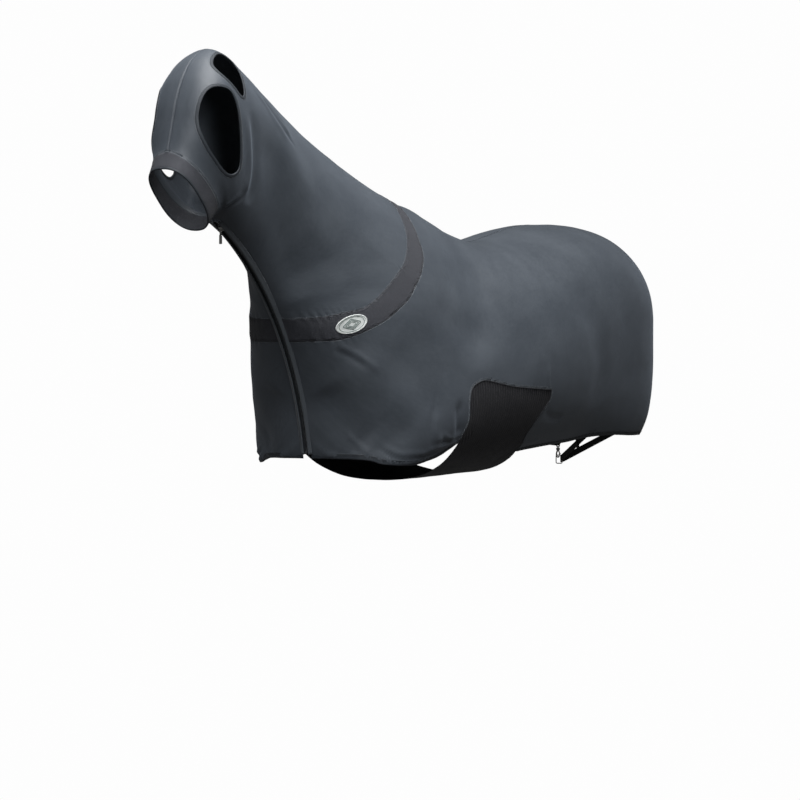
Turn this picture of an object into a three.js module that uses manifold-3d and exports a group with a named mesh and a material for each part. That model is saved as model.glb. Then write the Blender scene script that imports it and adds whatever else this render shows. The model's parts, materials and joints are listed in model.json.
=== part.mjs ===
// Stretch hood and body suit for a horse: one zipped garment that covers the head, neck and trunk.
// It is drawn as it is worn. Millimetres, +Z up, the head towards -X and the animal's left side at -Y.
// The origin is on the inside of the cloth at the top of the withers, where the suit hangs from the back.
import * as THREE from 'three';
import { mergeVertices } from 'three/addons/utils/BufferGeometryUtils.js';
import Module from 'manifold-3d';

const wasm = await Module();
wasm.setup();

// ---------- driving dimensions ----------
const WITHERS_HEIGHT = 1640;     // inside of the cloth at the withers, above the ground
const WALL = 2.4;                // stretch cloth with its turned seams
const SEAM_GAP = 0.3;            // between pieces that are sewn edge to edge
const BINDING_PROUD = 1.0;       // how far a bound edge stands out of the cloth
const FAR = 3000;                // reach of the cutting solids
const ROUND_STEPS = 10;          // mesh columns from spine to belly

// The front closure follows one arc from the chin to the hem of the chest.
const ZIP = { cx: -1234, cz: 809 - WITHERS_HEIGHT, r: 840, top: 61.8, bottom: 9.0 };
const ZIP_SLOT_HALF = 14;        // half the width left open in the cloth for the zip
const ZIP_STEPS = 18;
const TAPE = { inner: 3.0, outer: 13.4, rIn: 842.4, rOut: 841 };
const TEETH = { inner: 0.35, outer: 2.7, rIn: 842.4, rOut: 838.6 };
const LIP = { inner: 6.4, outer: 17, rIn: 836.4, rOut: 833.6 };
const STOP = { half: 3, rIn: 838.3, rOut: 834.8, span: 0.3 };
const SLIDER = { angle: 59.4, half: 5.6, length: 16, rIn: 838.3, rOut: 834.4 };
const BAIL = { post: 4.8, gap: 3.4, depth: 3, pinRadius: 0.9, r: 830.8 };
const PULL = { knuckle: 2.4, bore: 1.25, half: 2.9, length: 34, width: 8.6, thick: 1.6 };

const BAND_HOLE = 0.72;          // muzzle seam, in stations behind the muzzle opening
// Two elastic straps pass between the hind legs and are linked under the middle of the suit.
const STRAP = { width: 20, thick: 2, straight: 7, inset: 16 };
const LINK_X = 1045;
const RIGHT_APEX = { y: 3, z: -697 };
const LEFT_APEX = { y: -8, z: -749 };
const EYE_FRAME = { y0: -3.2, y1: 9.2, top: 14.5, bottom: -14.5, bar: 3, deep: 4 };
const HOOK = { ringZ: -733, outer: 12, inner: 8, thick: 5, collar: 6, top: -713, bottom: -722 };
const HOOK_ARC = { from: 60, to: 345 };
const GATE = { from: -45, to: 55, inner: 8.6, outer: 11.4, thick: 4.4, pivotR: 10, pivotAt: 50, reach: 12.7 };
const LINK_RING = { x: LINK_X - 1.5, wire: 1.5, y0: -12, y1: 9, top: -736.5, bottom: -762 };
const ADJUSTER = { wide: 14, high: 29, deep: 7, slotHigh: 25, slotDeep: 3.6, fromEnd: 110 };

// ---------- finishes ----------
function finish(color, roughness, metalness = 0) {
  return new THREE.MeshStandardMaterial({ color, roughness, metalness });
}
const CLOTH = finish(0x565c63, 0.55);
const BAND_CLOTH = finish(0x44464e, 0.7);
const GIRTH_CLOTH = finish(0x1b1b20, 0.8);
const BINDING = finish(0x2b3036, 0.75);
const WEBBING = finish(0x0f0f11, 0.8);
const ZIP_TAPE = finish(0x191a1d, 0.8);
const ZIP_TOOTH = finish(0x2a2b2e, 0.4);
const BADGE = finish(0xc8ccc8, 0.4);
const NICKEL = finish(0xb8b8b4, 0.3, 1);
const BRASS = finish(0x8f8a62, 0.4, 1);

// ---------- the worn shape ----------
// A point beside the ground line of the withers, given by its height above the ground.
const at = (x, height) => [x, height - WITHERS_HEIGHT];
const onZipArc = (degrees) => {
  const a = THREE.MathUtils.degToRad(degrees);
  return [ZIP.cx + ZIP.r * Math.cos(a), ZIP.cz + ZIP.r * Math.sin(a)];
};

// Each station: top point, bottom point, half width, share of the height at which it is widest,
// fullness above and below that, and how far the section bows back.
const STATIONS = [
  [at(-1070, 1667), at(-917, 1520), 66, 0.50, 2.6, 2.4, 0],
  [at(-1045, 1712), onZipArc(63.9), 76, 0.48, 2.6, 2.2, 0],
  [at(-1024, 1778), onZipArc(61.8), 94, 0.40, 2.8, 1.9, 0],
  [at(-1006, 1842), onZipArc(59.7), 107, 0.36, 2.8, 1.8, 0],
  [at(-976, 1905), onZipArc(57.6), 110, 0.36, 2.6, 1.8, 0],
  [at(-930, 1958), onZipArc(55.5), 108, 0.38, 2.3, 1.8, 0],
  [at(-868, 1984), onZipArc(53.2), 105, 0.40, 2.0, 1.8, 0.01],
  [at(-785, 1958), onZipArc(50.6), 104, 0.42, 1.8, 1.8, 0.02],
  [at(-660, 1896), onZipArc(47.6), 108, 0.45, 1.7, 1.9, 0.03],
  [at(-500, 1814), onZipArc(44.2), 120, 0.50, 1.7, 2.0, 0.04],
  [at(-335, 1748), onZipArc(40.8), 144, 0.54, 1.6, 2.1, 0.06],
  [at(-165, 1690), onZipArc(37.2), 180, 0.58, 1.5, 2.2, 0.09],
  [at(0, 1642.4), onZipArc(33.3), 216, 0.62, 1.5, 2.4, 0.12],
  [at(70, 1632), onZipArc(26.5), 240, 0.62, 1.5, 2.6, 0.11],
  [at(130, 1617), onZipArc(18.5), 256, 0.60, 1.5, 2.8, 0.10],
  [at(190, 1598), onZipArc(9.0), 272, 0.58, 1.6, 3.0, 0.08],
  [at(250, 1577), at(-365, 826), 290, 0.56, 1.7, 3.0, 0.06],
  [at(310, 1560), at(-130, 856), 310, 0.55, 1.8, 2.6, 0.04],
  [at(390, 1546), at(110, 862), 330, 0.54, 1.9, 2.3, 0.02],
  [at(490, 1549), at(360, 868), 340, 0.52, 2.0, 2.2, 0.01],
  [at(610, 1575), at(570, 874), 336, 0.50, 2.1, 2.2, 0],
  [at(750, 1603), at(750, 885), 322, 0.46, 2.2, 2.4, 0],
  [at(900, 1617), at(905, 895), 306, 0.42, 2.3, 3.0, 0],
  [at(1040, 1611), at(1040, 900), 292, 0.40, 2.3, 3.6, 0.01],
  [at(1145, 1586), at(1145, 905), 268, 0.38, 2.2, 4.0, 0.015],
  [at(1220, 1546), at(1216, 910), 224, 0.38, 2.1, 4.0, 0.025],
  [at(1266, 1502), at(1256, 915), 146, 0.38, 2.0, 4.0, 0.03],
  [at(1284, 1478), at(1270, 918), 0, 0.38, 2.0, 4.0, 0.035],
].map(([top, bottom, ...rest]) => [...top, ...bottom, ...rest]);
const LAST = STATIONS.length - 1;

function stationAt(u) {
  const i = Math.min(Math.floor(u), LAST - 1);
  const f = u - i;
  const p1 = STATIONS[i];
  const p2 = STATIONS[i + 1];
  return p1.map((b, k) => {
    const c = p2[k];
    const a = i > 0 ? STATIONS[i - 1][k] : 2 * b - c;
    const d = i < LAST - 1 ? STATIONS[i + 2][k] : 2 * c - b;
    const bend = 2 * a - 5 * b + 4 * c - d;
    const twist = 3 * b - a - 3 * c + d;
    return 0.5 * (2 * b + (c - a) * f + bend * f ** 2 + twist * f ** 3);
  });
}

// A point on the left half: u counts stations from the muzzle, v goes from the spine (0) to the belly (1).
function surface(u, v) {
  const [tx, tz, bx, bz, half, widest, nTop, nBottom, bow] = stationAt(u);
  const angle = v * Math.PI;
  const above = angle < Math.PI / 2;
  const power = 2 / (above ? nTop : nBottom);
  const rise = Math.abs(Math.cos(angle)) ** power;
  const s = above ? widest * (1 - rise) : widest + (1 - widest) * rise;
  const y = v >= 1 ? 0 : Math.max(half, 0) * Math.sin(angle) ** power;
  return new THREE.Vector3(tx + (bx - tx) * s + bow * 4 * s * (1 - s) * 1000, -y, tz + (bz - tz) * s);
}

// ---------- solids ----------
// A solid from points and triangles, turned so that its faces point outwards.
function closedSolid(positions, triangles) {
  const build = (tri) => new wasm.Manifold(new wasm.Mesh({
    numProp: 3,
    vertProperties: new Float32Array(positions),
    triVerts: new Uint32Array(tri),
  }));
  const made = build(triangles);
  return made.volume() > 0 ? made : build(triangles.map((_, i) => triangles[i - (i % 3) + [0, 2, 1][i % 3]]));
}

function toSolid(geometry) {
  const g = geometry.clone();
  g.deleteAttribute('normal');
  g.deleteAttribute('uv');
  const merged = mergeVertices(g, 1e-4);
  return closedSolid([...merged.attributes.position.array], [...merged.index.array]);
}

function toGeometry(solid) {
  const mesh = solid.getMesh();
  const g = new THREE.BufferGeometry();
  g.setAttribute('position', new THREE.BufferAttribute(new Float32Array(mesh.vertProperties), 3));
  g.setIndex(new THREE.BufferAttribute(new Uint32Array(mesh.triVerts), 1));
  g.computeVertexNormals();
  return g;
}

const mirrored = (solid) => solid.mirror([0, 1, 0]);

// The left half of the cloth between two offsets from the worn surface, for u from uA(v) to uB(v).
function halfShell(uA, uB, rows, out, inside, vA = 0, vB = 1, columns = ROUND_STEPS) {
  const base = [];
  for (let i = 0; i <= rows; i++) {
    for (let j = 0; j <= columns; j++) {
      const v = vA + (vB - vA) * j / columns;
      base.push(surface(uA(v) + (uB(v) - uA(v)) * i / rows, v));
    }
  }
  const width = columns + 1;
  const { clamp } = THREE.MathUtils;
  const point = (i, j) => base[clamp(i, 0, rows) * width + clamp(j, 0, columns)];
  const positions = [];
  for (const offset of [out, inside]) {
    for (let i = 0; i <= rows; i++) {
      for (let j = 0; j <= columns; j++) {
        const along = point(i + 1, j).clone().sub(point(i - 1, j));
        const round = point(i, j + 1).clone().sub(point(i, j - 1));
        const p = point(i, j);
        const onCentre = Math.abs(p.y) < 1e-6;
        if (onCentre && (j === 0 || j === columns)) round.set(0, 1, 0).multiplyScalar(j === 0 ? -1 : 1);
        if (onCentre && uB(0) >= LAST && i === rows) along.set(0, 1, 0);
        const normal = round.cross(along).normalize();
        positions.push(...p.clone().addScaledVector(normal, -offset).toArray());
      }
    }
  }
  const count = (rows + 1) * width;
  const tri = [];
  const quad = (a, b, c, d) => tri.push(a, b, c, a, c, d);
  for (let i = 0; i < rows; i++) {
    for (let j = 0; j < columns; j++) {
      const a = i * width + j;
      quad(a, a + 1, a + width + 1, a + width);
      quad(count + a, count + a + width, count + a + width + 1, count + a + 1);
    }
  }
  for (let i = 0; i < rows; i++) {
    const a = i * width;
    quad(a, a + width, count + a + width, count + a);
    quad(a + columns, count + a + columns, count + a + width + columns, a + width + columns);
  }
  for (let j = 0; j < columns; j++) {
    const last = rows * width + j;
    quad(j, count + j, count + j + 1, j + 1);
    quad(last, last + 1, count + last + 1, count + last);
  }
  return closedSolid(positions, tri);
}

// A solid of an outline in the side view (x, z), between two values of y.
function sidePrism(points, y0, y1) {
  const shape = new THREE.Shape(points.map(([x, z]) => new THREE.Vector2(x, z)));
  const g = new THREE.ExtrudeGeometry(shape, { depth: y1 - y0, bevelEnabled: false, curveSegments: 24 });
  g.rotateX(Math.PI / 2);
  g.translate(0, y1, 0);
  return toSolid(g);
}

function smooth(points, steps) {
  const curve = new THREE.SplineCurve(points.map(([x, z]) => new THREE.Vector2(x, z)));
  return curve.getPoints(steps).map((p) => [p.x, p.y]);
}
const leftOnly = (outline) => sidePrism(outline, -FAR, -SEAM_GAP / 2);

// A ring sector about the zip's arc centre, between two radii, two angles and two values of y.
function zipSector(rA, rB, from, to, y0, y1, steps = ZIP_STEPS) {
  const ring = [];
  for (const [r, flip] of [[rA, false], [rB, true]]) {
    for (let i = 0; i <= steps; i++) {
      const share = flip ? 1 - i / steps : i / steps;
      const a = THREE.MathUtils.degToRad(from + (to - from) * share);
      ring.push([ZIP.cx + r * Math.cos(a), ZIP.cz + r * Math.sin(a)]);
    }
  }
  return sidePrism(ring, y0, y1);
}

// A cutter that follows an opening's outline, given as (u, v) points, through the cloth.
function openingCutter(outline, grow, reach = 45, steps = 20) {
  const curve = new THREE.CatmullRomCurve3(outline.map(([u, v]) => surface(u, v)), true);
  const ring = curve.getSpacedPoints(steps).slice(0, steps);
  const centre = ring.reduce((sum, p) => sum.add(p), new THREE.Vector3()).divideScalar(steps);
  const normal = new THREE.Vector3();
  ring.forEach((p, i) => normal.add(p.clone().sub(centre).cross(ring[(i + 1) % steps].clone().sub(centre))));
  normal.normalize();
  const positions = [];
  for (const side of [1, -1]) {
    for (const p of ring) {
      const outward = p.clone().sub(centre);
      outward.addScaledVector(normal, -outward.dot(normal)).normalize();
      const corner = p.clone().addScaledVector(outward, grow).addScaledVector(normal, side * reach);
      positions.push(...corner.toArray());
    }
  }
  positions.push(...centre.clone().addScaledVector(normal, reach).toArray());
  positions.push(...centre.clone().addScaledVector(normal, -reach).toArray());
  const tri = [];
  for (let i = 0; i < steps; i++) {
    const k = (i + 1) % steps;
    tri.push(2 * steps, i, k, 2 * steps + 1, steps + k, steps + i);
    tri.push(i, steps + i, steps + k, i, steps + k, k);
  }
  return closedSolid(positions, tri);
}

// ---------- assembly ----------
const suit = new THREE.Group();
function add(name, shape, material, parent = suit) {
  const geometry = shape.isBufferGeometry ? shape : toGeometry(shape);
  const mesh = new THREE.Mesh(geometry, material);
  mesh.name = name;
  parent.add(mesh);
  return mesh;
}
function addPair(name, leftSolid, material) {
  add(`${name}_left`, leftSolid, material);
  add(`${name}_right`, mirrored(leftSolid), material);
}

// Pattern lines in the side view.
const BAND_FRONT = [[-48, 70], [-79, -10], [-108, -48], [-137, -89], [-167, -125], [-216, -175], [-254, -205],
  [-314, -249], [-359, -282], [-403, -308], [-454, -321], [-516, -335], [-640, -345]];
const BAND_REAR = [[10, 60], [-20, 0], [-58, -57], [-93, -117], [-116, -160], [-161, -206], [-206, -242],
  [-249, -281], [-296, -310], [-334, -334], [-375, -355], [-449, -388], [-512, -396], [-640, -402]];
const FRONT_HEM = [[-700, -706], [-402, -709], [-342, -724], [-264, -728], [-207, -720], [-128, -704],
  [-55, -670], [20, -640]];
const REAR_HEM = [[250, -735], [354, -705], [520, -693], [664, -685], [737, -677], [832, -670], [967, -668],
  [1111, -672], [1500, -674]];
const GIRTH_TOP = [[-40, -575], [-38, -548], [-22, -518], [26, -501], [61, -503], [114, -511], [177, -519],
  [325, -526], [370, -527]];
const GIRTH_REAR = [[372, -560], [343, -594], [324, -630], [321, -660], [354, -704], [400, -760],
  [440, -850]];
const GIRTH_FRONT = [[0, -850], [-35, -760], [-55, -680], [-50, -648], [-36, -610]];
const HEM_WIDTH = 14;

const frontLine = smooth(BAND_FRONT, 18);
const rearLine = smooth(BAND_REAR, 18);
const shift = (line, dx, dz) => line.map(([x, z]) => [x + dx, z + dz]);
const aheadOf = (line) => [...line, [-FAR, line.at(-1)[1]], [-FAR, FAR], [line[0][0], FAR]];
const neckSide = leftOnly(aheadOf(frontLine));
const bandSide = leftOnly(aheadOf(shift(rearLine, -SEAM_GAP, 0)))
  .subtract(leftOnly(aheadOf(shift(frontLine, SEAM_GAP, 0))));
const trunkSide = leftOnly([[-FAR, -FAR], [FAR, -FAR], [FAR, FAR], [-FAR, FAR]])
  .subtract(leftOnly(aheadOf(rearLine)));

const girthOutline = [...smooth(GIRTH_TOP, 8), ...smooth(GIRTH_REAR, 6), ...smooth(GIRTH_FRONT, 6)];
const girthShape = sidePrism(girthOutline, -FAR, FAR);
const GIRTH_MIDDLE = [150, -620];
const GROW = 1.002;              // leaves the seam gap round the girth
const grownGirth = girthOutline.map((p) => p.map((c, k) => GIRTH_MIDDLE[k] + (c - GIRTH_MIDDLE[k]) * GROW));
const girthCut = sidePrism(grownGirth, -FAR, FAR);
const belowLine = (line, lift) => [...shift(line, 0, lift), [line.at(-1)[0], -FAR], [line[0][0], -FAR]];
const underHem = (lift) => [
  leftOnly(belowLine(smooth(FRONT_HEM, 14), lift)),
  leftOnly(belowLine(smooth(REAR_HEM, 12), lift)),
];
const [frontUnder, rearUnder] = underHem(0);
const [frontUnderHem, rearUnderHem] = underHem(HEM_WIDTH);
const [frontUnderGap, rearUnderGap] = underHem(HEM_WIDTH + SEAM_GAP);
const zipSlot = zipSector(770, 905, 4, ZIP.top + 0.3, -ZIP_SLOT_HALF, ZIP_SLOT_HALF);

// Hood and neck: one long side panel, open at the ear and the eye.
const EYE = [[4.45, 0.30], [3.6, 0.195], [2.7, 0.18], [2.1, 0.24], [1.8, 0.40], [2.0, 0.54], [2.6, 0.615],
  [3.6, 0.63], [4.25, 0.575], [4.75, 0.47], [4.85, 0.37]];
const EAR = [[4.95, 0.15], [4.82, 0.21], [4.95, 0.275], [5.2, 0.335], [5.45, 0.385], [5.75, 0.37],
  [6.05, 0.30], [6.35, 0.22], [6.4, 0.16], [5.8, 0.12]];
const BIND_WIDTH = 5;
const muzzleSeam = (v) => BAND_HOLE + 0.28 * (1 - v) ** 6;
const lastNeckRow = () => 12.6;
const hoodRows = 16;
const hoodCloth = (out, inside) => halfShell((v) => muzzleSeam(v) + 0.03, lastNeckRow, hoodRows, out, inside);
const openings = [['eye', EYE], ['ear', EAR]];
let hood = hoodCloth(0, -WALL).intersect(neckSide).subtract(zipSlot);
for (const [name, outline] of openings) {
  const bound = hoodCloth(BINDING_PROUD, -WALL - BINDING_PROUD)
    .intersect(openingCutter(outline, 0))
    .subtract(openingCutter(outline, -BIND_WIDTH));
  addPair(`${name}_binding`, bound, BINDING);
  hood = hood.subtract(openingCutter(outline, SEAM_GAP));
}
addPair('hood_neck', hood, CLOTH);

const muzzleHalf = halfShell(() => 0, muzzleSeam, 2, BINDING_PROUD / 2, -WALL);
add('muzzle_band', muzzleHalf.add(mirrored(muzzleHalf)), BAND_CLOTH);

// Neck-to-body band and its badge.
const bandCloth = (out, inside) => halfShell(() => 9.5, () => 14, 7, out, inside);
const bandShell = bandCloth(0.4, -WALL);
addPair('shoulder_band', bandShell.intersect(bandSide).subtract(zipSlot), BAND_CLOTH);

// Body panels, the elastic girth and the bound hems.
const trunkRows = 30;
const trunk = (out, inside) => halfShell(() => 10, () => LAST, trunkRows, out, inside);
const bodyPanel = trunk(0, -WALL).intersect(trunkSide).subtract(zipSlot).subtract(girthCut)
  .subtract(frontUnderGap).subtract(rearUnderGap);
addPair('body_panel', bodyPanel, CLOTH);
const girthHalf = trunk(0, -WALL).intersect(girthShape);
add('girth_panel', girthHalf.add(mirrored(girthHalf)), GIRTH_CLOTH);
const hemCloth = trunk(BINDING_PROUD, -WALL - BINDING_PROUD)
  .intersect(trunkSide)
  .subtract(zipSlot)
  .subtract(girthCut);
addPair('front_hem', hemCloth.intersect(frontUnderHem).subtract(frontUnder), BINDING);
addPair('rear_hem', hemCloth.intersect(rearUnderHem).subtract(rearUnder), BINDING);

// The badge is a flexible oval plate that follows the band.
const BADGE_SIZE = { long: 95, tall: 46, lift: 0.9, thick: 1.8 };
const badgeFrom = new THREE.Vector3(-472, -138, -364);
const badgeTo = new THREE.Vector3(-402, -187, -338);
const badgeX = badgeTo.clone().sub(badgeFrom).normalize();
const badgeOut = new THREE.Vector3(-0.35, -0.9, -0.1);
const badgeY = badgeOut.cross(badgeX).normalize();
const badgeZ = badgeX.clone().cross(badgeY);
const oval = new THREE.Shape().absellipse(0, 0, BADGE_SIZE.long / 2, BADGE_SIZE.tall / 2, 0, Math.PI * 2);
const ovalPrism = new THREE.ExtrudeGeometry(oval, { depth: 120, bevelEnabled: false, curveSegments: 20 });
ovalPrism.translate(0, 0, -60);
const badgeCentre = badgeFrom.clone().add(badgeTo).multiplyScalar(0.5);
ovalPrism.applyMatrix4(new THREE.Matrix4().makeBasis(badgeX, badgeY, badgeZ).setPosition(badgeCentre));
const badgeCloth = bandCloth(BADGE_SIZE.lift + BADGE_SIZE.thick, BADGE_SIZE.lift);
add('badge', badgeCloth.intersect(toSolid(ovalPrism)), BADGE);

// ---------- front zip ----------
function zipPair(name, part, material) {
  const strip = zipSector(part.rIn, part.rOut, ZIP.bottom, ZIP.top - 0.4, -part.outer, -part.inner);
  addPair(name, strip, material);
}
zipPair('zip_tape', TAPE, ZIP_TAPE);
zipPair('zip_teeth', TEETH, ZIP_TOOTH);
zipPair('zip_lip', LIP, CLOTH);
const stopAt = (angle) => zipSector(STOP.rIn, STOP.rOut, angle, angle + STOP.span, -STOP.half, STOP.half, 1);
add('zip_top_stop', stopAt(SLIDER.angle + 0.85), ZIP_TOOTH);
add('zip_bottom_stop', stopAt(ZIP.bottom + 0.3), ZIP_TOOTH);

const box = (x0, x1, y0, y1, z0, z1) => {
  const g = new THREE.BoxGeometry(x1 - x0, y1 - y0, z1 - z0);
  g.translate((x0 + x1) / 2, (y0 + y1) / 2, (z0 + z1) / 2);
  return toSolid(g);
};
const alongY = (shape, half) => sidePrism(shape, -half, half);
const disc = (x, z, r, segments = 16) => {
  const ring = [];
  for (let i = 0; i < segments; i++) {
    const a = (i / segments) * Math.PI * 2;
    ring.push([x + r * Math.cos(a), z + r * Math.sin(a)]);
  }
  return ring;
};

// In this group +X runs out from the zip's arc centre, so smaller x is further out of the cloth.
const sliderSpot = new THREE.Group();
sliderSpot.position.set(ZIP.cx, 0, ZIP.cz);
sliderSpot.rotation.y = -THREE.MathUtils.degToRad(SLIDER.angle);
suit.add(sliderSpot);
const crown = new THREE.Shape();
crown.moveTo(-SLIDER.half, SLIDER.length / 2);
crown.lineTo(SLIDER.half, SLIDER.length / 2);
crown.lineTo(SLIDER.half, 0);
crown.lineTo(SLIDER.half * 0.7, -SLIDER.length / 2);
crown.lineTo(-SLIDER.half * 0.7, -SLIDER.length / 2);
crown.lineTo(-SLIDER.half, 0);
const crownPlate = new THREE.ExtrudeGeometry(crown, {
  depth: SLIDER.rIn - SLIDER.rOut,
  bevelEnabled: false,
});
crownPlate.applyMatrix4(new THREE.Matrix4().makeBasis(
  new THREE.Vector3(0, 1, 0), new THREE.Vector3(0, 0, 1), new THREE.Vector3(1, 0, 0)));
crownPlate.translate(SLIDER.rOut, 0, 0);
const postFoot = SLIDER.rOut + 0.5;
const post = box(BAIL.r - BAIL.pinRadius, postFoot, BAIL.gap, BAIL.post, -BAIL.depth / 2, BAIL.depth / 2);
const bailPin = alongY(disc(BAIL.r, 0, BAIL.pinRadius), BAIL.post);
add('zip_slider', toSolid(crownPlate).add(post).add(mirrored(post)).add(bailPin), NICKEL, sliderSpot);

const pinAngle = THREE.MathUtils.degToRad(SLIDER.angle);
const pullSpot = new THREE.Group();
pullSpot.position.set(ZIP.cx + BAIL.r * Math.cos(pinAngle), 0, ZIP.cz + BAIL.r * Math.sin(pinAngle));
suit.add(pullSpot);
const tab = box(-PULL.thick / 2, PULL.thick / 2, -PULL.half, PULL.half, -8, -PULL.bore - 0.4)
  .add(box(-PULL.thick / 2, PULL.thick / 2, -PULL.width / 2, PULL.width / 2, -PULL.length, -8));
const knuckle = alongY(disc(0, 0, PULL.knuckle), PULL.half);
add('zip_pull', knuckle.add(tab).subtract(alongY(disc(0, 0, PULL.bore), PULL.half + 1)), NICKEL, pullSpot);

// ---------- leg straps ----------
// The point of the left half where the cloth comes down to a given height.
function hemPoint(u, z) {
  let low = 0.5;
  let high = 1;
  for (let i = 0; i < 30; i++) {
    const mid = (low + high) / 2;
    if (surface(u, mid).z > z) low = mid;
    else high = mid;
  }
  return surface(u, low);
}
const TAB = { front: 21.3, rear: 26.2, z: -664, half: 17, tall: 24, thick: 2.6, lift: 1.5 };
const frontHold = hemPoint(TAB.front, TAB.z);
const rearHold = hemPoint(TAB.rear, TAB.z);
const tabCloth = trunk(-WALL - TAB.lift, -WALL - TAB.lift - TAB.thick);
for (const [name, hold] of [['front', frontHold], ['rear', rearHold]]) {
  const window = leftOnly([
    [hold.x - TAB.half, hold.z - 2], [hold.x + TAB.half, hold.z - 2],
    [hold.x + TAB.half, hold.z + TAB.tall], [hold.x - TAB.half, hold.z + TAB.tall],
  ]);
  const beside = box(-FAR, FAR, hold.y - TAB.half, hold.y + TAB.half, -FAR, FAR);
  addPair(`strap_tab_${name}`, tabCloth.intersect(window).intersect(beside), WEBBING);
}

// A flat strap on edge: it follows a line in plan and rises to its two ends.
function strapSolid(apex, front, rear) {
  const line = [
    [front.x, front.y],
    [LINK_X - STRAP.straight, apex.y],
    [LINK_X + STRAP.straight, apex.y],
    [rear.x, rear.y],
  ].map(([x, y]) => new THREE.Vector2(x, y));
  const offset = (i, d) => {
    const before = line[Math.max(i, 1)].clone().sub(line[Math.max(i, 1) - 1]).normalize();
    const after = line[Math.min(i + 1, 3)].clone().sub(line[Math.min(i + 1, 3) - 1]).normalize();
    const bisector = before.add(after).normalize();
    return line[i].clone().add(new THREE.Vector2(-bisector.y, bisector.x).multiplyScalar(d));
  };
  const half = STRAP.thick / 2;
  const outline = [0, 1, 2, 3].map((i) => offset(i, half)).concat([3, 2, 1, 0].map((i) => offset(i, -half)));
  const g = new THREE.ExtrudeGeometry(new THREE.Shape(outline), { depth: STRAP.width, bevelEnabled: false });
  const p = g.attributes.position;
  for (let i = 0; i < p.count; i++) {
    const x = p.getX(i);
    const end = x < LINK_X ? front : rear;
    const bend = LINK_X + Math.sign(x - LINK_X) * STRAP.straight;
    const share = THREE.MathUtils.clamp((x - bend) / (end.x - bend), 0, 1.1);
    p.setZ(i, p.getZ(i) - STRAP.width / 2 + apex.z + (end.z - apex.z) * share);
  }
  return toSolid(g);
}
function inward(hold, side, dx) {
  return { x: hold.x + dx, y: side * (Math.abs(hold.y) - STRAP.inset), z: hold.z };
}
const strapEnds = {};
for (const [name, side, apex] of [['left', -1, LEFT_APEX], ['right', 1, RIGHT_APEX]]) {
  const ends = { front: inward(frontHold, side, 8), rear: inward(rearHold, side, -10) };
  strapEnds[name] = { ...ends, apex };
  add(`leg_strap_${name}`, strapSolid(apex, ends.front, ends.rear), WEBBING);
}

// A two-bar slide on the front stretch of each strap.
for (const name of ['left', 'right']) {
  const { front, apex } = strapEnds[name];
  const start = new THREE.Vector3(front.x, front.y, front.z);
  const way = new THREE.Vector3(LINK_X - STRAP.straight, apex.y, apex.z).sub(start).normalize();
  const spot = new THREE.Group();
  spot.position.copy(start.addScaledVector(way, ADJUSTER.fromEnd));
  spot.rotation.z = Math.atan2(way.y, way.x);
  suit.add(spot);
  const a = ADJUSTER;
  const body = box(-a.wide / 2, a.wide / 2, -a.deep / 2, a.deep / 2, -a.high / 2, a.high / 2);
  const slot = box(-a.wide, a.wide, -a.slotDeep / 2, a.slotDeep / 2, -a.slotHigh / 2, a.slotHigh / 2);
  add(`strap_slide_${name}`, body.subtract(slot), ZIP_TOOTH, spot);
}

// Swivel snap on the right strap: a frame round the webbing, a swivel post, the hook and its gate.
const linkSpot = new THREE.Group();
linkSpot.position.set(LINK_X, RIGHT_APEX.y, 0);
suit.add(linkSpot);
const f = EYE_FRAME;
function frameBox(grow) {
  const deep = f.deep / 2 + (grow < 0 ? 1 : 0);
  return box(-deep, deep, f.y0 - RIGHT_APEX.y - grow, f.y1 - RIGHT_APEX.y + grow,
    RIGHT_APEX.z + f.bottom - grow, RIGHT_APEX.z + f.top + grow);
}
const lathe = (profile) => {
  const g = new THREE.LatheGeometry(profile.map(([r, z]) => new THREE.Vector2(r, z)), 16);
  g.rotateX(Math.PI / 2);
  return toSolid(g);
};
const postTop = RIGHT_APEX.z + f.bottom + 1;
const swivelPost = lathe([[0, HOOK.bottom + 3], [3.4, HOOK.bottom + 3], [3.4, HOOK.bottom + 5],
  [2, HOOK.bottom + 5], [2, postTop], [0, postTop]]);
add('snap_swivel_frame', frameBox(0).subtract(frameBox(-f.bar)).add(swivelPost), BRASS, linkSpot);

const collar = lathe([[0, HOOK.bottom + 2.6], [3.8, HOOK.bottom + 2.6], [3.8, HOOK.bottom + 5.4],
  [2.4, HOOK.bottom + 5.4], [2.4, HOOK.top], [HOOK.collar, HOOK.top], [HOOK.collar, HOOK.bottom],
  [0, HOOK.bottom]]);
const arcRing = (inner, outer, from, to, steps) => {
  const points = [];
  for (const [r, back] of [[outer, false], [inner, true]]) {
    for (let i = 0; i <= steps; i++) {
      const a = THREE.MathUtils.degToRad(from + (to - from) * (back ? 1 - i / steps : i / steps));
      points.push([r * Math.cos(a), HOOK.ringZ + r * Math.sin(a)]);
    }
  }
  return points;
};
// The gate's tip and the nose of the hook are cut on arcs about the gate's pivot, so the gate swings clear.
const pivotAngle = THREE.MathUtils.degToRad(GATE.pivotAt);
const pivotX = GATE.pivotR * Math.cos(pivotAngle);
const pivotZ = HOOK.ringZ + GATE.pivotR * Math.sin(pivotAngle);
const reachDisc = (radius) => alongY(disc(pivotX, pivotZ, radius, 48), HOOK.thick);
const belowRing = box(-20, 20, -HOOK.thick, HOOK.thick, HOOK.ringZ - 20, HOOK.ringZ);
const noseCut = reachDisc(GATE.reach + SEAM_GAP).intersect(belowRing);
const hookArc = arcRing(HOOK.inner, HOOK.outer, HOOK_ARC.from, HOOK_ARC.to, 22);
const hookRing = alongY(hookArc, HOOK.thick / 2).subtract(noseCut);
add('snap_hook', hookRing.add(collar), NICKEL, linkSpot);
const gateArc = alongY(arcRing(GATE.inner, GATE.outer, GATE.from, GATE.to, 8), GATE.thick / 2);
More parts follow.
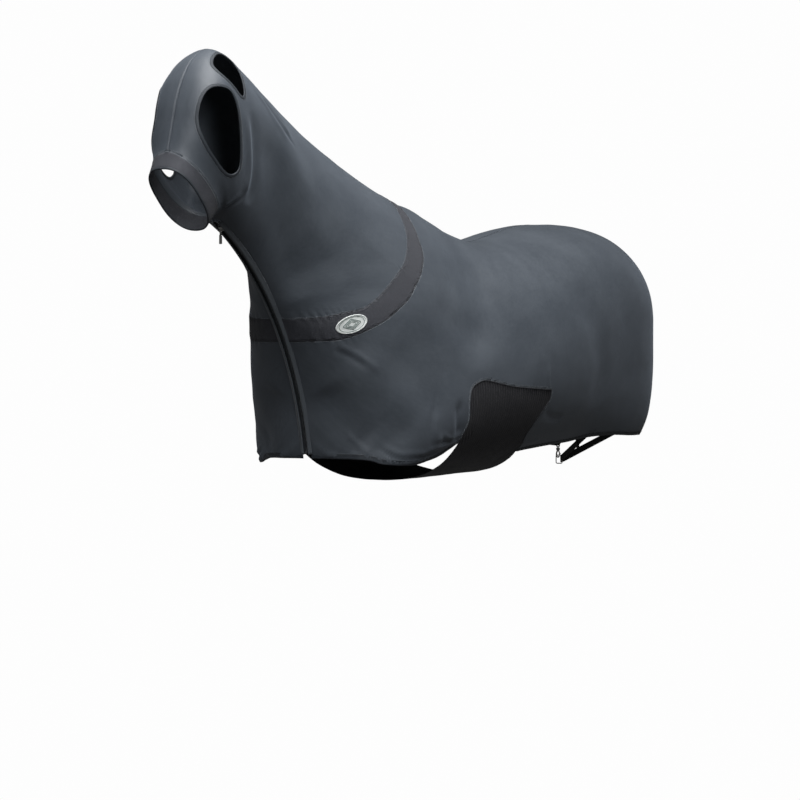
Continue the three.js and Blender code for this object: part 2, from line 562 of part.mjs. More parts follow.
add('snap_gate', gateArc.intersect(reachDisc(GATE.reach)), NICKEL, linkSpot);

// Rectangular link on the left strap, closed through the hook.
function ringPlate(grow) {
  const wide = LINK_RING.wire + (grow < 0 ? 1 : 0);
  return box(LINK_RING.x - wide, LINK_RING.x + wide, LINK_RING.y0 - grow, LINK_RING.y1 + grow,
    LINK_RING.bottom - grow, LINK_RING.top + grow);
}
add('link_ring', ringPlate(LINK_RING.wire).subtract(ringPlate(-LINK_RING.wire)), NICKEL);

export default suit;
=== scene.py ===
# %% [markdown]
# # A stretch hood and body suit for a horse
# The suit is one zipped garment of shiny stretch knit, worn over the head, neck and trunk. The frame that
# comes with it holds every hard part and a plain solid for each piece of cloth. This notebook builds the
# cloth, stitching, zip, straps and metal that are seen, all of them in the frame's own place and size.

# %% Load the frame
import json
import math

import bmesh
import bpy
import numpy as np
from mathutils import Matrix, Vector, noise
from mathutils.bvhtree import BVHTree

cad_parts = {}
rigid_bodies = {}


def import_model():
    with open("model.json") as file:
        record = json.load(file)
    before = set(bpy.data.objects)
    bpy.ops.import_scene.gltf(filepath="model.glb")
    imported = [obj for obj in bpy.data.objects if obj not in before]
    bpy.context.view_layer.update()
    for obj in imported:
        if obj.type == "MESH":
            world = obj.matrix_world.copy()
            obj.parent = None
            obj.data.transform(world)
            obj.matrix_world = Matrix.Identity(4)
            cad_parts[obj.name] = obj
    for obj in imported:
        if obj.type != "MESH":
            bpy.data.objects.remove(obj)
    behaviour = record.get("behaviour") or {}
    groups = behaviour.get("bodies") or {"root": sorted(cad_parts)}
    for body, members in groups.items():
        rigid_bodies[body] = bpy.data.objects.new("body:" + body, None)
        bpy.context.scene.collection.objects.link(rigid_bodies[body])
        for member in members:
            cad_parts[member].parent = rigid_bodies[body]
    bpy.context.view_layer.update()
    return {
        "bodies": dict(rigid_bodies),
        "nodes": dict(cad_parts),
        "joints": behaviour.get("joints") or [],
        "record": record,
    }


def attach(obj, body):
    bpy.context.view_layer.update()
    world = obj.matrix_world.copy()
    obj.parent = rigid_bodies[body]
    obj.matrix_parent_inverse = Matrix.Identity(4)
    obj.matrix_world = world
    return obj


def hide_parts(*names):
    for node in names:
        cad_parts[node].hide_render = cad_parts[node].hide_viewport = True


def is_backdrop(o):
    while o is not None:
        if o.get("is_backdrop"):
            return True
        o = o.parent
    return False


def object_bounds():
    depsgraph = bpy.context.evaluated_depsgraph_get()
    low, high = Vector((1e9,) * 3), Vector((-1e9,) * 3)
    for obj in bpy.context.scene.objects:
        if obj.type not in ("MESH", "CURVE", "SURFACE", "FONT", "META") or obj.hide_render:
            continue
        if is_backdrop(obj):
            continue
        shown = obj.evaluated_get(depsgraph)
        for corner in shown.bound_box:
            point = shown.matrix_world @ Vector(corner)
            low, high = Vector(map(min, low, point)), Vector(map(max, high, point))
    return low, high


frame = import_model()

# %% [markdown]
# ## Camera
# The camera stands in front of the animal's left shoulder with a long lens, a little below the withers.
# It comes first because nothing else depends on it.

# %% Camera
GROUND = -1.640
CAMERA_AZIMUTH = math.radians(-59)
CAMERA_BACK = 8.0
CAMERA_HEIGHT = GROUND + 1.16
CAMERA_LENS = 128.2
CAMERA_SIDE = 0.042
CAMERA_DIP = 0.0095

back = Vector((math.sin(CAMERA_AZIMUTH), -math.cos(CAMERA_AZIMUTH), 0))
right = Vector((math.cos(CAMERA_AZIMUTH), math.sin(CAMERA_AZIMUTH), 0))
camera = bpy.data.objects.new("camera", bpy.data.cameras.new("camera"))
camera.data.lens = CAMERA_LENS
camera.location = back * CAMERA_BACK + right * CAMERA_SIDE + Vector((0, 0, CAMERA_HEIGHT))
camera.rotation_mode = "QUATERNION"
camera.rotation_quaternion = (-back - Vector((0, 0, CAMERA_DIP))).to_track_quat("-Z", "Y")
bpy.context.scene.collection.objects.link(camera)
bpy.context.scene.camera = camera

# %% [markdown]
# ## The worn shape
# Stretch cloth has no shape of its own: it takes the animal's. The shape is a loft. Each station has a top
# and a bottom point on the middle plane, a half width, the share of the height where it is widest, two
# fullness exponents and a bow. A smooth curve runs through the stations. `u` counts stations from the nose
# and `v` goes from the spine (0) to the belly (1). A loft with named stations is used because the seams,
# hems and stitching can then all be worked out on the same surface.

# %% Stations of the worn shape
ZIP_CENTRE = np.array([-1.234, 0.809 + GROUND])
ZIP_RADIUS = 0.840


def at(x, height):
    return (x, height + GROUND)


def on_zip(degrees):
    a = math.radians(degrees)
    return (ZIP_CENTRE[0] + ZIP_RADIUS * math.cos(a), ZIP_CENTRE[1] + ZIP_RADIUS * math.sin(a))


STATIONS = np.array([
    [*at(-1.070, 1.667), *at(-0.917, 1.520), 0.066, 0.50, 2.6, 2.4, 0],
    [*at(-1.045, 1.712), *on_zip(63.9), 0.076, 0.48, 2.6, 2.2, 0],
    [*at(-1.024, 1.778), *on_zip(61.8), 0.094, 0.40, 2.8, 1.9, 0],
    [*at(-1.006, 1.842), *on_zip(59.7), 0.107, 0.36, 2.8, 1.8, 0],
    [*at(-0.976, 1.905), *on_zip(57.6), 0.110, 0.36, 2.6, 1.8, 0],
    [*at(-0.930, 1.958), *on_zip(55.5), 0.108, 0.38, 2.3, 1.8, 0],
    [*at(-0.868, 1.984), *on_zip(53.2), 0.105, 0.40, 2.0, 1.8, 0.01],
    [*at(-0.785, 1.958), *on_zip(50.6), 0.104, 0.42, 1.8, 1.8, 0.02],
    [*at(-0.660, 1.896), *on_zip(47.6), 0.108, 0.45, 1.7, 1.9, 0.03],
    [*at(-0.500, 1.814), *on_zip(44.2), 0.120, 0.50, 1.7, 2.0, 0.04],
    [*at(-0.335, 1.748), *on_zip(40.8), 0.144, 0.54, 1.6, 2.1, 0.06],
    [*at(-0.165, 1.690), *on_zip(37.2), 0.180, 0.58, 1.5, 2.2, 0.09],
    [*at(0.000, 1.6424), *on_zip(33.3), 0.216, 0.62, 1.5, 2.4, 0.12],
    [*at(0.070, 1.632), *on_zip(26.5), 0.240, 0.62, 1.5, 2.6, 0.11],
    [*at(0.130, 1.617), *on_zip(18.5), 0.256, 0.60, 1.5, 2.8, 0.10],
    [*at(0.190, 1.598), *on_zip(9.0), 0.272, 0.58, 1.6, 3.0, 0.08],
    [*at(0.250, 1.577), *at(-0.365, 0.826), 0.290, 0.56, 1.7, 3.0, 0.06],
    [*at(0.310, 1.560), *at(-0.130, 0.856), 0.310, 0.55, 1.8, 2.6, 0.04],
    [*at(0.390, 1.546), *at(0.110, 0.862), 0.330, 0.54, 1.9, 2.3, 0.02],
    [*at(0.490, 1.549), *at(0.360, 0.868), 0.340, 0.52, 2.0, 2.2, 0.01],
    [*at(0.610, 1.575), *at(0.570, 0.874), 0.336, 0.50, 2.1, 2.2, 0],
    [*at(0.750, 1.603), *at(0.750, 0.885), 0.322, 0.46, 2.2, 2.4, 0],
    [*at(0.900, 1.617), *at(0.905, 0.895), 0.306, 0.42, 2.3, 3.0, 0],
    [*at(1.040, 1.611), *at(1.040, 0.900), 0.292, 0.40, 2.3, 3.6, 0.01],
    [*at(1.145, 1.586), *at(1.145, 0.905), 0.268, 0.38, 2.2, 4.0, 0.015],
    [*at(1.220, 1.546), *at(1.216, 0.910), 0.224, 0.38, 2.1, 4.0, 0.025],
    [*at(1.266, 1.502), *at(1.256, 0.915), 0.146, 0.38, 2.0, 4.0, 0.03],
    [*at(1.284, 1.478), *at(1.270, 0.918), 0.000, 0.38, 2.0, 4.0, 0.035],
])
LAST = len(STATIONS) - 1


def stations_at(u):
    """The station values at any u, on a smooth curve through the table."""
    i = np.minimum(u.astype(int), LAST - 1)
    f = (u - i)[:, None]
    b, c = STATIONS[i], STATIONS[i + 1]
    a = np.where((i > 0)[:, None], STATIONS[np.maximum(i - 1, 0)], 2 * b - c)
    d = np.where((i < LAST - 1)[:, None], STATIONS[np.minimum(i + 2, LAST)], 2 * c - b)
    return 0.5 * (2 * b + (c - a) * f + (2 * a - 5 * b + 4 * c - d) * f**2 + (3 * b - a - 3 * c + d) * f**3)


def surface(uv):
    """Points of the left half for an array of (u, v)."""
    u = np.clip(uv[:, 0], 0, LAST)
    v = np.clip(uv[:, 1], 0, 1)
    tx, tz, bx, bz, half, widest, n_top, n_bottom, bow = stations_at(u).T
    angle = v * math.pi
    above = angle < math.pi / 2
    power = 2 / np.where(above, n_top, n_bottom)
    rise = np.abs(np.cos(angle)) ** power
    s = np.where(above, widest * (1 - rise), widest + (1 - widest) * rise)
    y = np.maximum(half, 0) * np.abs(np.sin(angle)) ** power
    y[v >= 1] = 0
    return np.stack([tx + (bx - tx) * s + bow * 4 * s * (1 - s), -y, tz + (bz - tz) * s], 1)


def outward(uv, step=0.02):
    """Unit normals of the left half, pointing out of the cloth."""
    lo, hi = uv.copy(), uv.copy()
    lo[:, 0] = np.clip(uv[:, 0] - step, 0, LAST)
    hi[:, 0] = np.clip(uv[:, 0] + step, 0, LAST)
    along = surface(hi) - surface(lo)
    lo, hi = uv.copy(), uv.copy()
    lo[:, 1] = np.clip(uv[:, 1] - step / 2, 0, 1)
    hi[:, 1] = np.clip(uv[:, 1] + step / 2, 0, 1)
    round_ = surface(hi) - surface(lo)
    round_[uv[:, 1] <= 0] = (0, -1, 0)
    round_[uv[:, 1] >= 1] = (0, 1, 0)
    along[uv[:, 0] >= LAST - 1e-6] = (0, 1, 0)
    n = np.cross(round_, along)
    return n / np.maximum(np.linalg.norm(n, axis=1), 1e-9)[:, None]


probe = np.array([[12.0, 0.0], [20.0, 0.45]])
print("withers", surface(probe)[0].round(4), "flank normal", outward(probe)[1].round(2))

# %% [markdown]
# ## Pattern lines
# The pieces meet on lines that a cutter would draw on the side view: the band round the shoulder, the two
# hems and the elastic girth under the belly. Each line is a smooth curve through a few points, and a signed
# distance to it says on which side a piece of cloth lies. The eye and ear holes are closed curves on the
# surface, seen square on. A signed distance is used because cloth can then be cut anywhere, not only along
# the rows of its mesh.

# %% Pattern lines in the side view (x, z)
BAND_FRONT = [(-0.048, 0.070), (-0.079, -0.010), (-0.108, -0.048), (-0.137, -0.089), (-0.167, -0.125),
              (-0.216, -0.175), (-0.254, -0.205), (-0.314, -0.249), (-0.359, -0.282), (-0.403, -0.308),
              (-0.454, -0.321), (-0.516, -0.335), (-0.640, -0.345)]
BAND_REAR = [(0.010, 0.060), (-0.020, 0.000), (-0.058, -0.057), (-0.093, -0.117), (-0.116, -0.160),
             (-0.161, -0.206), (-0.206, -0.242), (-0.249, -0.281), (-0.296, -0.310), (-0.334, -0.334),
             (-0.375, -0.355), (-0.449, -0.388), (-0.512, -0.396), (-0.640, -0.402)]
FRONT_HEM = [(-0.700, -0.706), (-0.402, -0.709), (-0.342, -0.724), (-0.264, -0.728), (-0.207, -0.720),
             (-0.128, -0.704), (-0.055, -0.670), (0.020, -0.640)]
REAR_HEM = [(0.250, -0.735), (0.354, -0.705), (0.520, -0.693), (0.664, -0.685), (0.737, -0.677),
            (0.832, -0.670), (0.967, -0.668), (1.111, -0.672), (1.500, -0.674)]
GIRTH_TOP = [(-0.040, -0.575), (-0.038, -0.548), (-0.022, -0.518), (0.026, -0.501), (0.061, -0.503),
             (0.114, -0.511), (0.177, -0.519), (0.325, -0.526), (0.370, -0.527)]
GIRTH_REAR = [(0.372, -0.560), (0.343, -0.594), (0.324, -0.630), (0.321, -0.660), (0.354, -0.704),
              (0.400, -0.760), (0.440, -0.850)]
GIRTH_FRONT = [(0.000, -0.850), (-0.035, -0.760), (-0.055, -0.680), (-0.050, -0.648), (-0.036, -0.610)]
EYE = [(4.45, 0.30), (3.60, 0.195), (2.70, 0.18), (2.10, 0.24), (1.80, 0.40), (2.00, 0.54),
       (2.60, 0.615), (3.60, 0.63), (4.25, 0.575), (4.75, 0.47), (4.85, 0.37)]
EAR = [(4.95, 0.15), (4.82, 0.21), (4.95, 0.275), (5.20, 0.335), (5.45, 0.385), (5.75, 0.37),
       (6.05, 0.30), (6.35, 0.22), (6.40, 0.16), (5.80, 0.12)]
HEM_WIDTH = 0.014
ZIP_SLOT = 0.014


def spline(points, count, closed=False):
    """A smooth curve through the points, as count + 1 points (count if it is closed)."""
    p = np.array(points, float)
    n = len(p)
    t = np.linspace(0, n if closed else n - 1, count + 1)
    if closed:
        t = t[:-1]
    i = np.minimum(t.astype(int), n - 1 if closed else n - 2)
    f = (t - i)[:, None]
    pick = (lambda k: p[k % n]) if closed else (lambda k: p[np.clip(k, 0, n - 1)])
    a, b, c, d = pick(i - 1), pick(i), pick(i + 1), pick(i + 2)
    return 0.5 * (2 * b + (c - a) * f + (2 * a - 5 * b + 4 * c - d) * f**2 + (3 * b - a - 3 * c + d) * f**3)


def near_line(points, line):
    """The distance of each point to a broken line, and how far along the line (0 to 1) it is nearest."""
    best = np.full(len(points), 1e9)
    share = np.zeros(len(points))
    side = np.zeros(len(points))
    for k in range(len(line) - 1):
        a, d = line[k], line[k + 1] - line[k]
        t = np.clip(((points - a) @ d) / max(d @ d, 1e-12), 0, 1)
        away = points - a - t[:, None] * d
        dist = np.linalg.norm(away, axis=1)
        closer = dist < best
        best[closer] = dist[closer]
        share[closer] = (k + t[closer]) / (len(line) - 1)
        if points.shape[1] == 2:
            side[closer] = np.sign(d[0] * away[closer, 1] - d[1] * away[closer, 0])
    return best, share, side


def in_side_view(line, x_from=-9, x_to=9):
    """A cut along a line of the side view, between two values of x: positive on the line's left as drawn."""
    curve = spline(line, 6 * len(line))

    def value(cloth):
        distance, _, side = near_line(cloth.rest[:, [0, 2]], curve)
        x = cloth.rest[:, 0]
        return np.where((x > x_from) & (x < x_to), distance * side, 1)
    return value


def inside_loop(points, loop):
    """Signed distance to a closed outline, positive inside."""
    ring = np.vstack([loop, loop[:1]])
    x, y = points.T
    odd = np.zeros(len(points), bool)
    for (ax, ay), (bx, by) in zip(ring, ring[1:]):
        crosses = (ay > y) != (by > y)
        with np.errstate(divide="ignore", invalid="ignore"):
            odd ^= crosses & (x < (bx - ax) * (y - ay) / (by - ay) + ax)
    return np.where(odd, 1, -1) * near_line(points, ring)[0]


girth_loop = np.vstack([spline(GIRTH_TOP, 40), spline(GIRTH_REAR, 30), spline(GIRTH_FRONT, 24)])


def hole(outline):
    """A cut round an opening, as signed distance in the plane that faces it: positive in the opening."""
    ring = surface(spline(outline, 72, closed=True))
    centre = ring.mean(0)
    square = np.cross(ring - centre, np.roll(ring, -1, 0) - centre).sum(0)
    square /= np.linalg.norm(square)
    across = np.cross(square, (0, 0, 1))
    across /= np.linalg.norm(across)
    plane = np.stack([across, np.cross(square, across)], 1)

    def value(cloth):
        flat = inside_loop((cloth.rest - centre) @ plane, (ring - centre) @ plane)
        return np.where(np.abs((cloth.rest - centre) @ square) < 0.06, flat, -1)
    return value


def zip_angle(points):
    """The angle of points about the centre of the zip's arc; points far from the arc count as above it."""
    dx, dz = points[:, 0] - ZIP_CENTRE[0], points[:, 2] - ZIP_CENTRE[1]
    near = np.abs(np.hypot(dx, dz) - ZIP_RADIUS) < 0.07
    return np.where(near, np.degrees(np.arctan2(dz, dx)), 90)


def muzzle_seam(v):
    """The station at which the nose band is sewn to the hood."""
    return 0.72 + 0.28 * (1 - v) ** 6


MUZZLE_STATION = 0.06
ZIP_SLOT_TOP = 62.1
cuts = {
    "band_front": in_side_view(BAND_FRONT),
    "band_rear": in_side_view(BAND_REAR),
    "front_hem": in_side_view(FRONT_HEM, x_to=0.0),
    "rear_hem": in_side_view(REAR_HEM, x_from=0.30),
    "girth": lambda cloth: inside_loop(cloth.rest[:, [0, 2]], girth_loop),
    "eye": hole(EYE),
    "ear": hole(EAR),
    "zip": lambda cloth: np.where(zip_angle(cloth.rest) > ZIP_SLOT_TOP, 1, -cloth.rest[:, 1] - ZIP_SLOT),
    "muzzle": lambda cloth: (cloth.uv[:, 0] - muzzle_seam(cloth.uv[:, 1])) * MUZZLE_STATION,
    "muzzle_edge": lambda cloth: cloth.uv[:, 0] * MUZZLE_STATION,
    "centre": lambda cloth: -cloth.rest[:, 1],
}
print("cuts", ", ".join(cuts))

# %% [markdown]
# ## Folds
# Stretch cloth shows the muscle under it and pulls into thin creases where it is held. The hollows and
# ridges are strokes drawn on the surface in (u, v), each with a width and a height, and they fade at both
# ends. Moving points along the normal was chosen over a cloth simulation: the suit is under tension all
# over, so nothing hangs, and a stroke goes exactly where the real crease is.

# %% Strokes: points, half width, height (below zero is a hollow), and which sides have it
BOTH, LEFT, RIGHT = "both", "left", "right"
STROKES = [
    # the edge of the jaw, the hollow behind it and the crease under the throat
    ([(5.30, 0.440), (5.34, 0.518), (5.22, 0.579), (5.05, 0.640), (4.60, 0.690), (3.90, 0.705)], 0.013,
     0.0050, BOTH),
    ([(5.95, 0.43), (5.85, 0.53), (5.70, 0.62), (5.35, 0.70), (4.70, 0.76)], 0.018, -0.0070, BOTH),
    ([(0.95, 0.72), (1.55, 0.800), (2.43, 0.775), (3.94, 0.738), (4.6, 0.70)], 0.0055, -0.0030, BOTH),
    ([(1.35, 0.77), (2.35, 0.752), (3.80, 0.716)], 0.006, 0.0018, BOTH),
    ([(6.60, 0.40), (6.85, 0.52), (7.20, 0.63), (8.10, 0.73), (9.50, 0.82), (10.6, 0.86)], 0.052, -0.0110,
     BOTH),
    ([(7.55, 0.28), (7.95, 0.42), (8.60, 0.55), (9.90, 0.66)], 0.045, 0.0060, BOTH),
    # creases of the crest where the neck turns
    ([(6.95, 0.275), (7.30, 0.300), (7.55, 0.345), (7.90, 0.390)], 0.008, 0.0024, LEFT),
    ([(7.35, 0.235), (7.60, 0.285), (7.85, 0.330), (8.20, 0.365)], 0.006, -0.0042, LEFT),
    ([(7.60, 0.200), (7.80, 0.250), (8.02, 0.300)], 0.006, -0.0036, LEFT),
    ([(7.62, 0.245), (7.86, 0.290), (8.12, 0.330)], 0.005, 0.0022, LEFT),
    ([(6.60, 0.18), (6.90, 0.26), (7.10, 0.32)], 0.006, -0.0026, RIGHT),
    # shoulder and chest
    ([(12.60, 0.845), (12.93, 0.800), (13.34, 0.761), (13.68, 0.735)], 0.006, 0.0026, LEFT),
    ([(12.70, 0.860), (13.05, 0.810), (13.45, 0.770)], 0.006, -0.0026, LEFT),
    ([(13.60, 0.93), (14.40, 0.89), (15.10, 0.83)], 0.050, -0.0080, BOTH),
    ([(14.20, 0.74), (15.20, 0.82), (16.00, 0.77), (17.00, 0.70)], 0.075, -0.0160, RIGHT),
    ([(12.90, 0.80), (14.00, 0.74), (15.00, 0.66), (15.9, 0.60)], 0.060, 0.0080, BOTH),
    ([(13.10, 0.52), (14.20, 0.46), (15.20, 0.42), (16.6, 0.38)], 0.060, -0.0060, BOTH),
    # the front of the elbow, gathered towards the corner of the hem
    ([(16.10, 0.53), (16.45, 0.59), (16.72, 0.65)], 0.016, -0.0080, BOTH),
    ([(15.55, 0.57), (15.95, 0.61), (16.35, 0.645)], 0.018, 0.0050, BOTH),
    ([(16.15, 0.605), (16.50, 0.641), (16.80, 0.672)], 0.0045, 0.0034, BOTH),
    ([(16.05, 0.632), (16.48, 0.648), (16.85, 0.668)], 0.0040, -0.0030, BOTH),
    ([(15.95, 0.655), (16.40, 0.662), (16.90, 0.682)], 0.0045, 0.0032, BOTH),
    # gathers of the chest hem
    ([(15.10, 0.790), (15.50, 0.735), (15.90, 0.680), (16.35, 0.665)], 0.0048, 0.0030, BOTH),
    ([(15.05, 0.812), (15.50, 0.752), (15.92, 0.697), (16.45, 0.676)], 0.0042, -0.0026, BOTH),
    ([(15.15, 0.815), (15.60, 0.755), (15.98, 0.705), (16.60, 0.686)], 0.0045, 0.0028, BOTH),
    ([(14.60, 0.900), (15.00, 0.855), (15.40, 0.800)], 0.0060, 0.0022, LEFT),
    ([(14.75, 0.990), (15.00, 0.965), (15.05, 0.930)], 0.0060, 0.0030, BOTH),
    # behind the elastic girth
    ([(18.60, 0.735), (18.95, 0.742), (19.30, 0.742)], 0.0060, 0.0028, BOTH),
    ([(18.50, 0.50), (18.60, 0.545), (18.70, 0.570)], 0.0050, 0.0028, LEFT),
    ([(18.80, 0.63), (19.10, 0.655), (19.60, 0.668)], 0.0120, -0.0030, BOTH),
    # back and hindquarters
    ([(15.60, 0.22), (16.50, 0.30), (17.20, 0.40), (18.2, 0.50)], 0.070, -0.0060, BOTH),
    ([(19.60, 0.30), (20.30, 0.42), (20.70, 0.54), (21.0, 0.66)], 0.080, -0.0080, BOTH),
    ([(22.00, 0.30), (22.60, 0.42), (22.90, 0.56)], 0.090, 0.0070, BOTH),
    ([(21.50, 0.00), (23.50, 0.00), (25.20, 0.00)], 0.026, -0.0060, BOTH),
]
PUCKER = 0.0011
RIPPLE = 0.0016


def stroke_height(points, stroke):
    """How far a stroke moves each point: a bell across the stroke that fades at its ends."""
    line, width, height, _ = stroke
    near, share, _ = near_line(points, surface(spline(line, 8 * len(line))))
    fade = np.clip(np.minimum(share, 1 - share) * 4, 0, 1)
    bell = np.exp(-((near / width) ** 2))
    ends = np.where((share <= 0) | (share >= 1), 0, fade * fade * (3 - 2 * fade))
    return height * bell * ends


def soft_noise(points, size, seed):
    """Smooth noise from -1 to 1 at each point."""
    start = Vector((seed * 7.3, seed * 3.1, seed * 5.7))
    return np.array([noise.noise(Vector(p) / size + start) for p in points])


def fold(cloth, side, seed):
    """Move the points of one half along their normals by every stroke on that side, and by a soft ripple."""
    height = np.zeros(len(cloth.rest))
    for stroke in STROKES:
        if stroke[3] in (BOTH, side):
            height += stroke_height(cloth.rest, stroke)
    off_centre = np.clip(-cloth.rest[:, 1] / 0.04, 0, 1)
    height += RIPPLE * soft_noise(cloth.rest, 0.16, seed) * off_centre
    height += 0.4 * RIPPLE * soft_noise(cloth.rest, 0.055, seed + 1) * off_centre
    for line, pitch in (("band_front", 0.016), ("band_rear", 0.018), ("front_hem", 0.015),
                        ("rear_hem", 0.021)):
        beside = np.exp(-((cuts[line](cloth) / 0.016) ** 2))
        along = cloth.rest[:, 0] + 0.6 * cloth.rest[:, 2]
        wobble = 1 + 0.5 * soft_noise(cloth.rest, 0.05, seed + 2)
        height += PUCKER * beside * wobble * np.sin(2 * math.pi * along / pitch) * off_centre
    cloth.co = cloth.rest + cloth.normal * height[:, None]


print(len(STROKES), "strokes")

# %% [markdown]
# ## Cutting the cloth
# One fine mesh of each half is made from the surface, folded, and then cut into its panels. A cut walks
# over the faces and splits those that the line crosses, so every panel has a clean edge, and the two
# panels of a seam share it. A boolean would do the same on solids, but this keeps the (u, v) of every
# point, which the weave needs.

# %% The cloth of one half
CELL = 0.0085
SNAP = 0.0004


class Cloth:
    """Points at rest, folded points, normals, (u, v), a woven-length UV, and faces."""

    def __init__(self, rest, normal, uv, woven, faces):
        self.rest, self.normal, self.uv, self.woven, self.faces = rest, normal, uv, woven, faces
        self.co = rest.copy()

    def table(self):
        return np.hstack([self.rest, self.co, self.normal, self.uv, self.woven])

    def take(self, table, faces):
        made = Cloth(table[:, 0:3], table[:, 6:9], table[:, 9:11], table[:, 11:13], faces)
        made.co = table[:, 3:6]
        return made


def rows_for(cell):
    """Stations spaced so that no cell of the loft is longer than cell."""
    fine = np.linspace(0, LAST, 1200)
    longest = np.zeros(len(fine) - 1)
    for v in (0, 0.25, 0.5, 0.75, 1):
        line = surface(np.stack([fine, np.full_like(fine, v)], 1))
        longest = np.maximum(longest, np.linalg.norm(np.diff(line, axis=0), axis=1))
    length = np.concatenate([[0], np.cumsum(longest)])
    return np.interp(np.linspace(0, length[-1], int(length[-1] / cell) + 1), length, fine)


def half_cloth(u_values, columns, v_from=0.0):
    """The left half as one mesh of quads, from v_from down to the belly."""
    v_values = np.linspace(v_from, 1, columns + 1)
    u, v = np.meshgrid(u_values, v_values, indexing="ij")
    uv = np.stack([u.ravel(), v.ravel()], 1)
    rest = surface(uv)
    grid = rest.reshape(len(u_values), columns + 1, 3)
    along = np.zeros((len(u_values), columns + 1))
    along[1:] = np.cumsum(np.linalg.norm(np.diff(grid, axis=0), axis=2), axis=0)
    round_ = np.zeros_like(along)
    round_[:, 1:] = np.cumsum(np.linalg.norm(np.diff(grid, axis=1), axis=2), axis=1)
    woven = np.stack([np.broadcast_to(along[:, columns // 2][:, None], along.shape).ravel(),
                      round_.ravel()], 1)
    w = columns + 1
    faces = [[i * w + j, i * w + j + 1, (i + 1) * w + j + 1, (i + 1) * w + j]
             for i in range(len(u_values) - 1) for j in range(columns)]
    return Cloth(rest, outward(uv), uv, woven, faces)


def cut(cloth, name, keep=1, shift=0.0):
    """The part of the cloth on the keep side of a line, moved by shift, split cleanly along it."""
    value = keep * (cuts[name](cloth) - shift)
    value[np.abs(value) < SNAP] = 0
    level = value.tolist()
    table = cloth.table()
    new_rows, crossing, faces = [], {}, []
    for face in cloth.faces:
        heights = [level[i] for i in face]
        if max(heights) <= 0:
            continue
        if min(heights) >= 0:
            faces.append(face)
            continue
        kept = []
        for a, b in zip(face, face[1:] + face[:1]):
            if level[a] >= 0:
                kept.append(a)
            if level[a] * level[b] < 0:
                key = (min(a, b), max(a, b))
                if key not in crossing:
                    lo, hi = key
                    share = level[lo] / (level[lo] - level[hi])
                    crossing[key] = len(table) + len(new_rows)
                    new_rows.append(table[lo] + (table[hi] - table[lo]) * share)
                kept.append(crossing[key])
        if len(kept) >= 3:
            faces.append(kept)
    if new_rows:
        table = np.vstack([table, new_rows])
    used = np.unique(np.concatenate([np.array(f) for f in faces]))
    index = np.zeros(len(table), int)
    index[used] = np.arange(len(used))
    return cloth.take(table[used], [[int(index[i]) for i in f] for f in faces])


def edge_lines(cloth, name, keep_shift=0.0, reach=0.0015):
    """The open edges of a piece that lie on a cutting line, as lists of points in order."""
    on_line = np.abs(cuts[name](cloth) - keep_shift) < reach
    edges = {(a, b) for f in cloth.faces for a, b in zip(f, f[1:] + f[:1])}
    after = {a: b for a, b in edges if (b, a) not in edges and on_line[a] and on_line[b]}
    starts = sorted(set(after) - set(after.values())) or sorted(after)[:1]
    lines = []
    for start in starts:
        line = [start]
        while line[-1] in after and after[line[-1]] not in (start,):
            line.append(after[line[-1]])
        closed = line[-1] in after
        lines.append((line, closed))
    return lines


stations = rows_for(CELL)
halves = {}
for side, seed in ((LEFT, 1), (RIGHT, 11)):
    halves[side] = half_cloth(stations, 132)
    fold(halves[side], side, seed)
    print(side, len(halves[side].rest), "points,", len(halves[side].faces), "faces")

# %% [markdown]
# ## Shader groups
# Weave, wear and ribs turn up in several materials, so each is a shader group: built once, with named
# inputs, and placed in every material that needs it. The groups put out only masks and heights. Colours,
# roughness and sheen are set in each material.

# %% Shader groups
def shader_group(name, inputs, outputs):
    group = bpy.data.node_groups.new(name, "ShaderNodeTree")
    for label, value in inputs:
        kind = "NodeSocketVector" if value is None else "NodeSocketFloat"
        socket = group.interface.new_socket(label, in_out="INPUT", socket_type=kind)
        if value is not None:
            socket.default_value = value
    for label in outputs:
        group.interface.new_socket(label, in_out="OUTPUT", socket_type="NodeSocketFloat")
    return group, group.nodes.new("NodeGroupInput"), group.nodes.new("NodeGroupOutput")


def wire(tree, source, target):
    """Join two sockets, or set the target if the source is a plain value."""
    if isinstance(source, (int, float, tuple)):
        target.default_value = source
    else:
        tree.links.new(source, target)


def math_node(tree, operation, *values):
    node = tree.nodes.new("ShaderNodeMath")
    node.operation = operation
    for socket, value in zip(node.inputs, values):
        wire(tree, value, socket)
    return node.outputs[0]


def spread(tree, value, low, high, to_low=0.0, to_high=1.0):
    node = tree.nodes.new("ShaderNodeMapRange")
    for socket, v in zip(node.inputs, (value, low, high, to_low, to_high)):
        wire(tree, v, socket)
    return node.outputs[0]


def noise_node(tree, where, scale, detail=3.0, roughness=0.55, stretch=None):
    if stretch is not None:
        mapping = tree.nodes.new("ShaderNodeMapping")
        mapping.inputs["Scale"].default_value = stretch
        tree.links.new(where, mapping.inputs["Vector"])
        where = mapping.outputs["Vector"]
    node = tree.nodes.new("ShaderNodeTexNoise")
    node.inputs["Detail"].default_value = detail
    node.inputs["Roughness"].default_value = roughness
    wire(tree, scale, node.inputs["Scale"])
    tree.links.new(where, node.inputs["Vector"])
    return node.outputs["Fac"]


def wave_along(tree, where, axis, pitch):
    """A sine of one coordinate with the given pitch, from -1 to 1."""
    split = tree.nodes.new("ShaderNodeSeparateXYZ")
    tree.links.new(where, split.inputs[0])
    turns = math_node(tree, "DIVIDE", split.outputs[axis], pitch)
    return math_node(tree, "SINE", math_node(tree, "MULTIPLY", turns, 2 * math.pi))


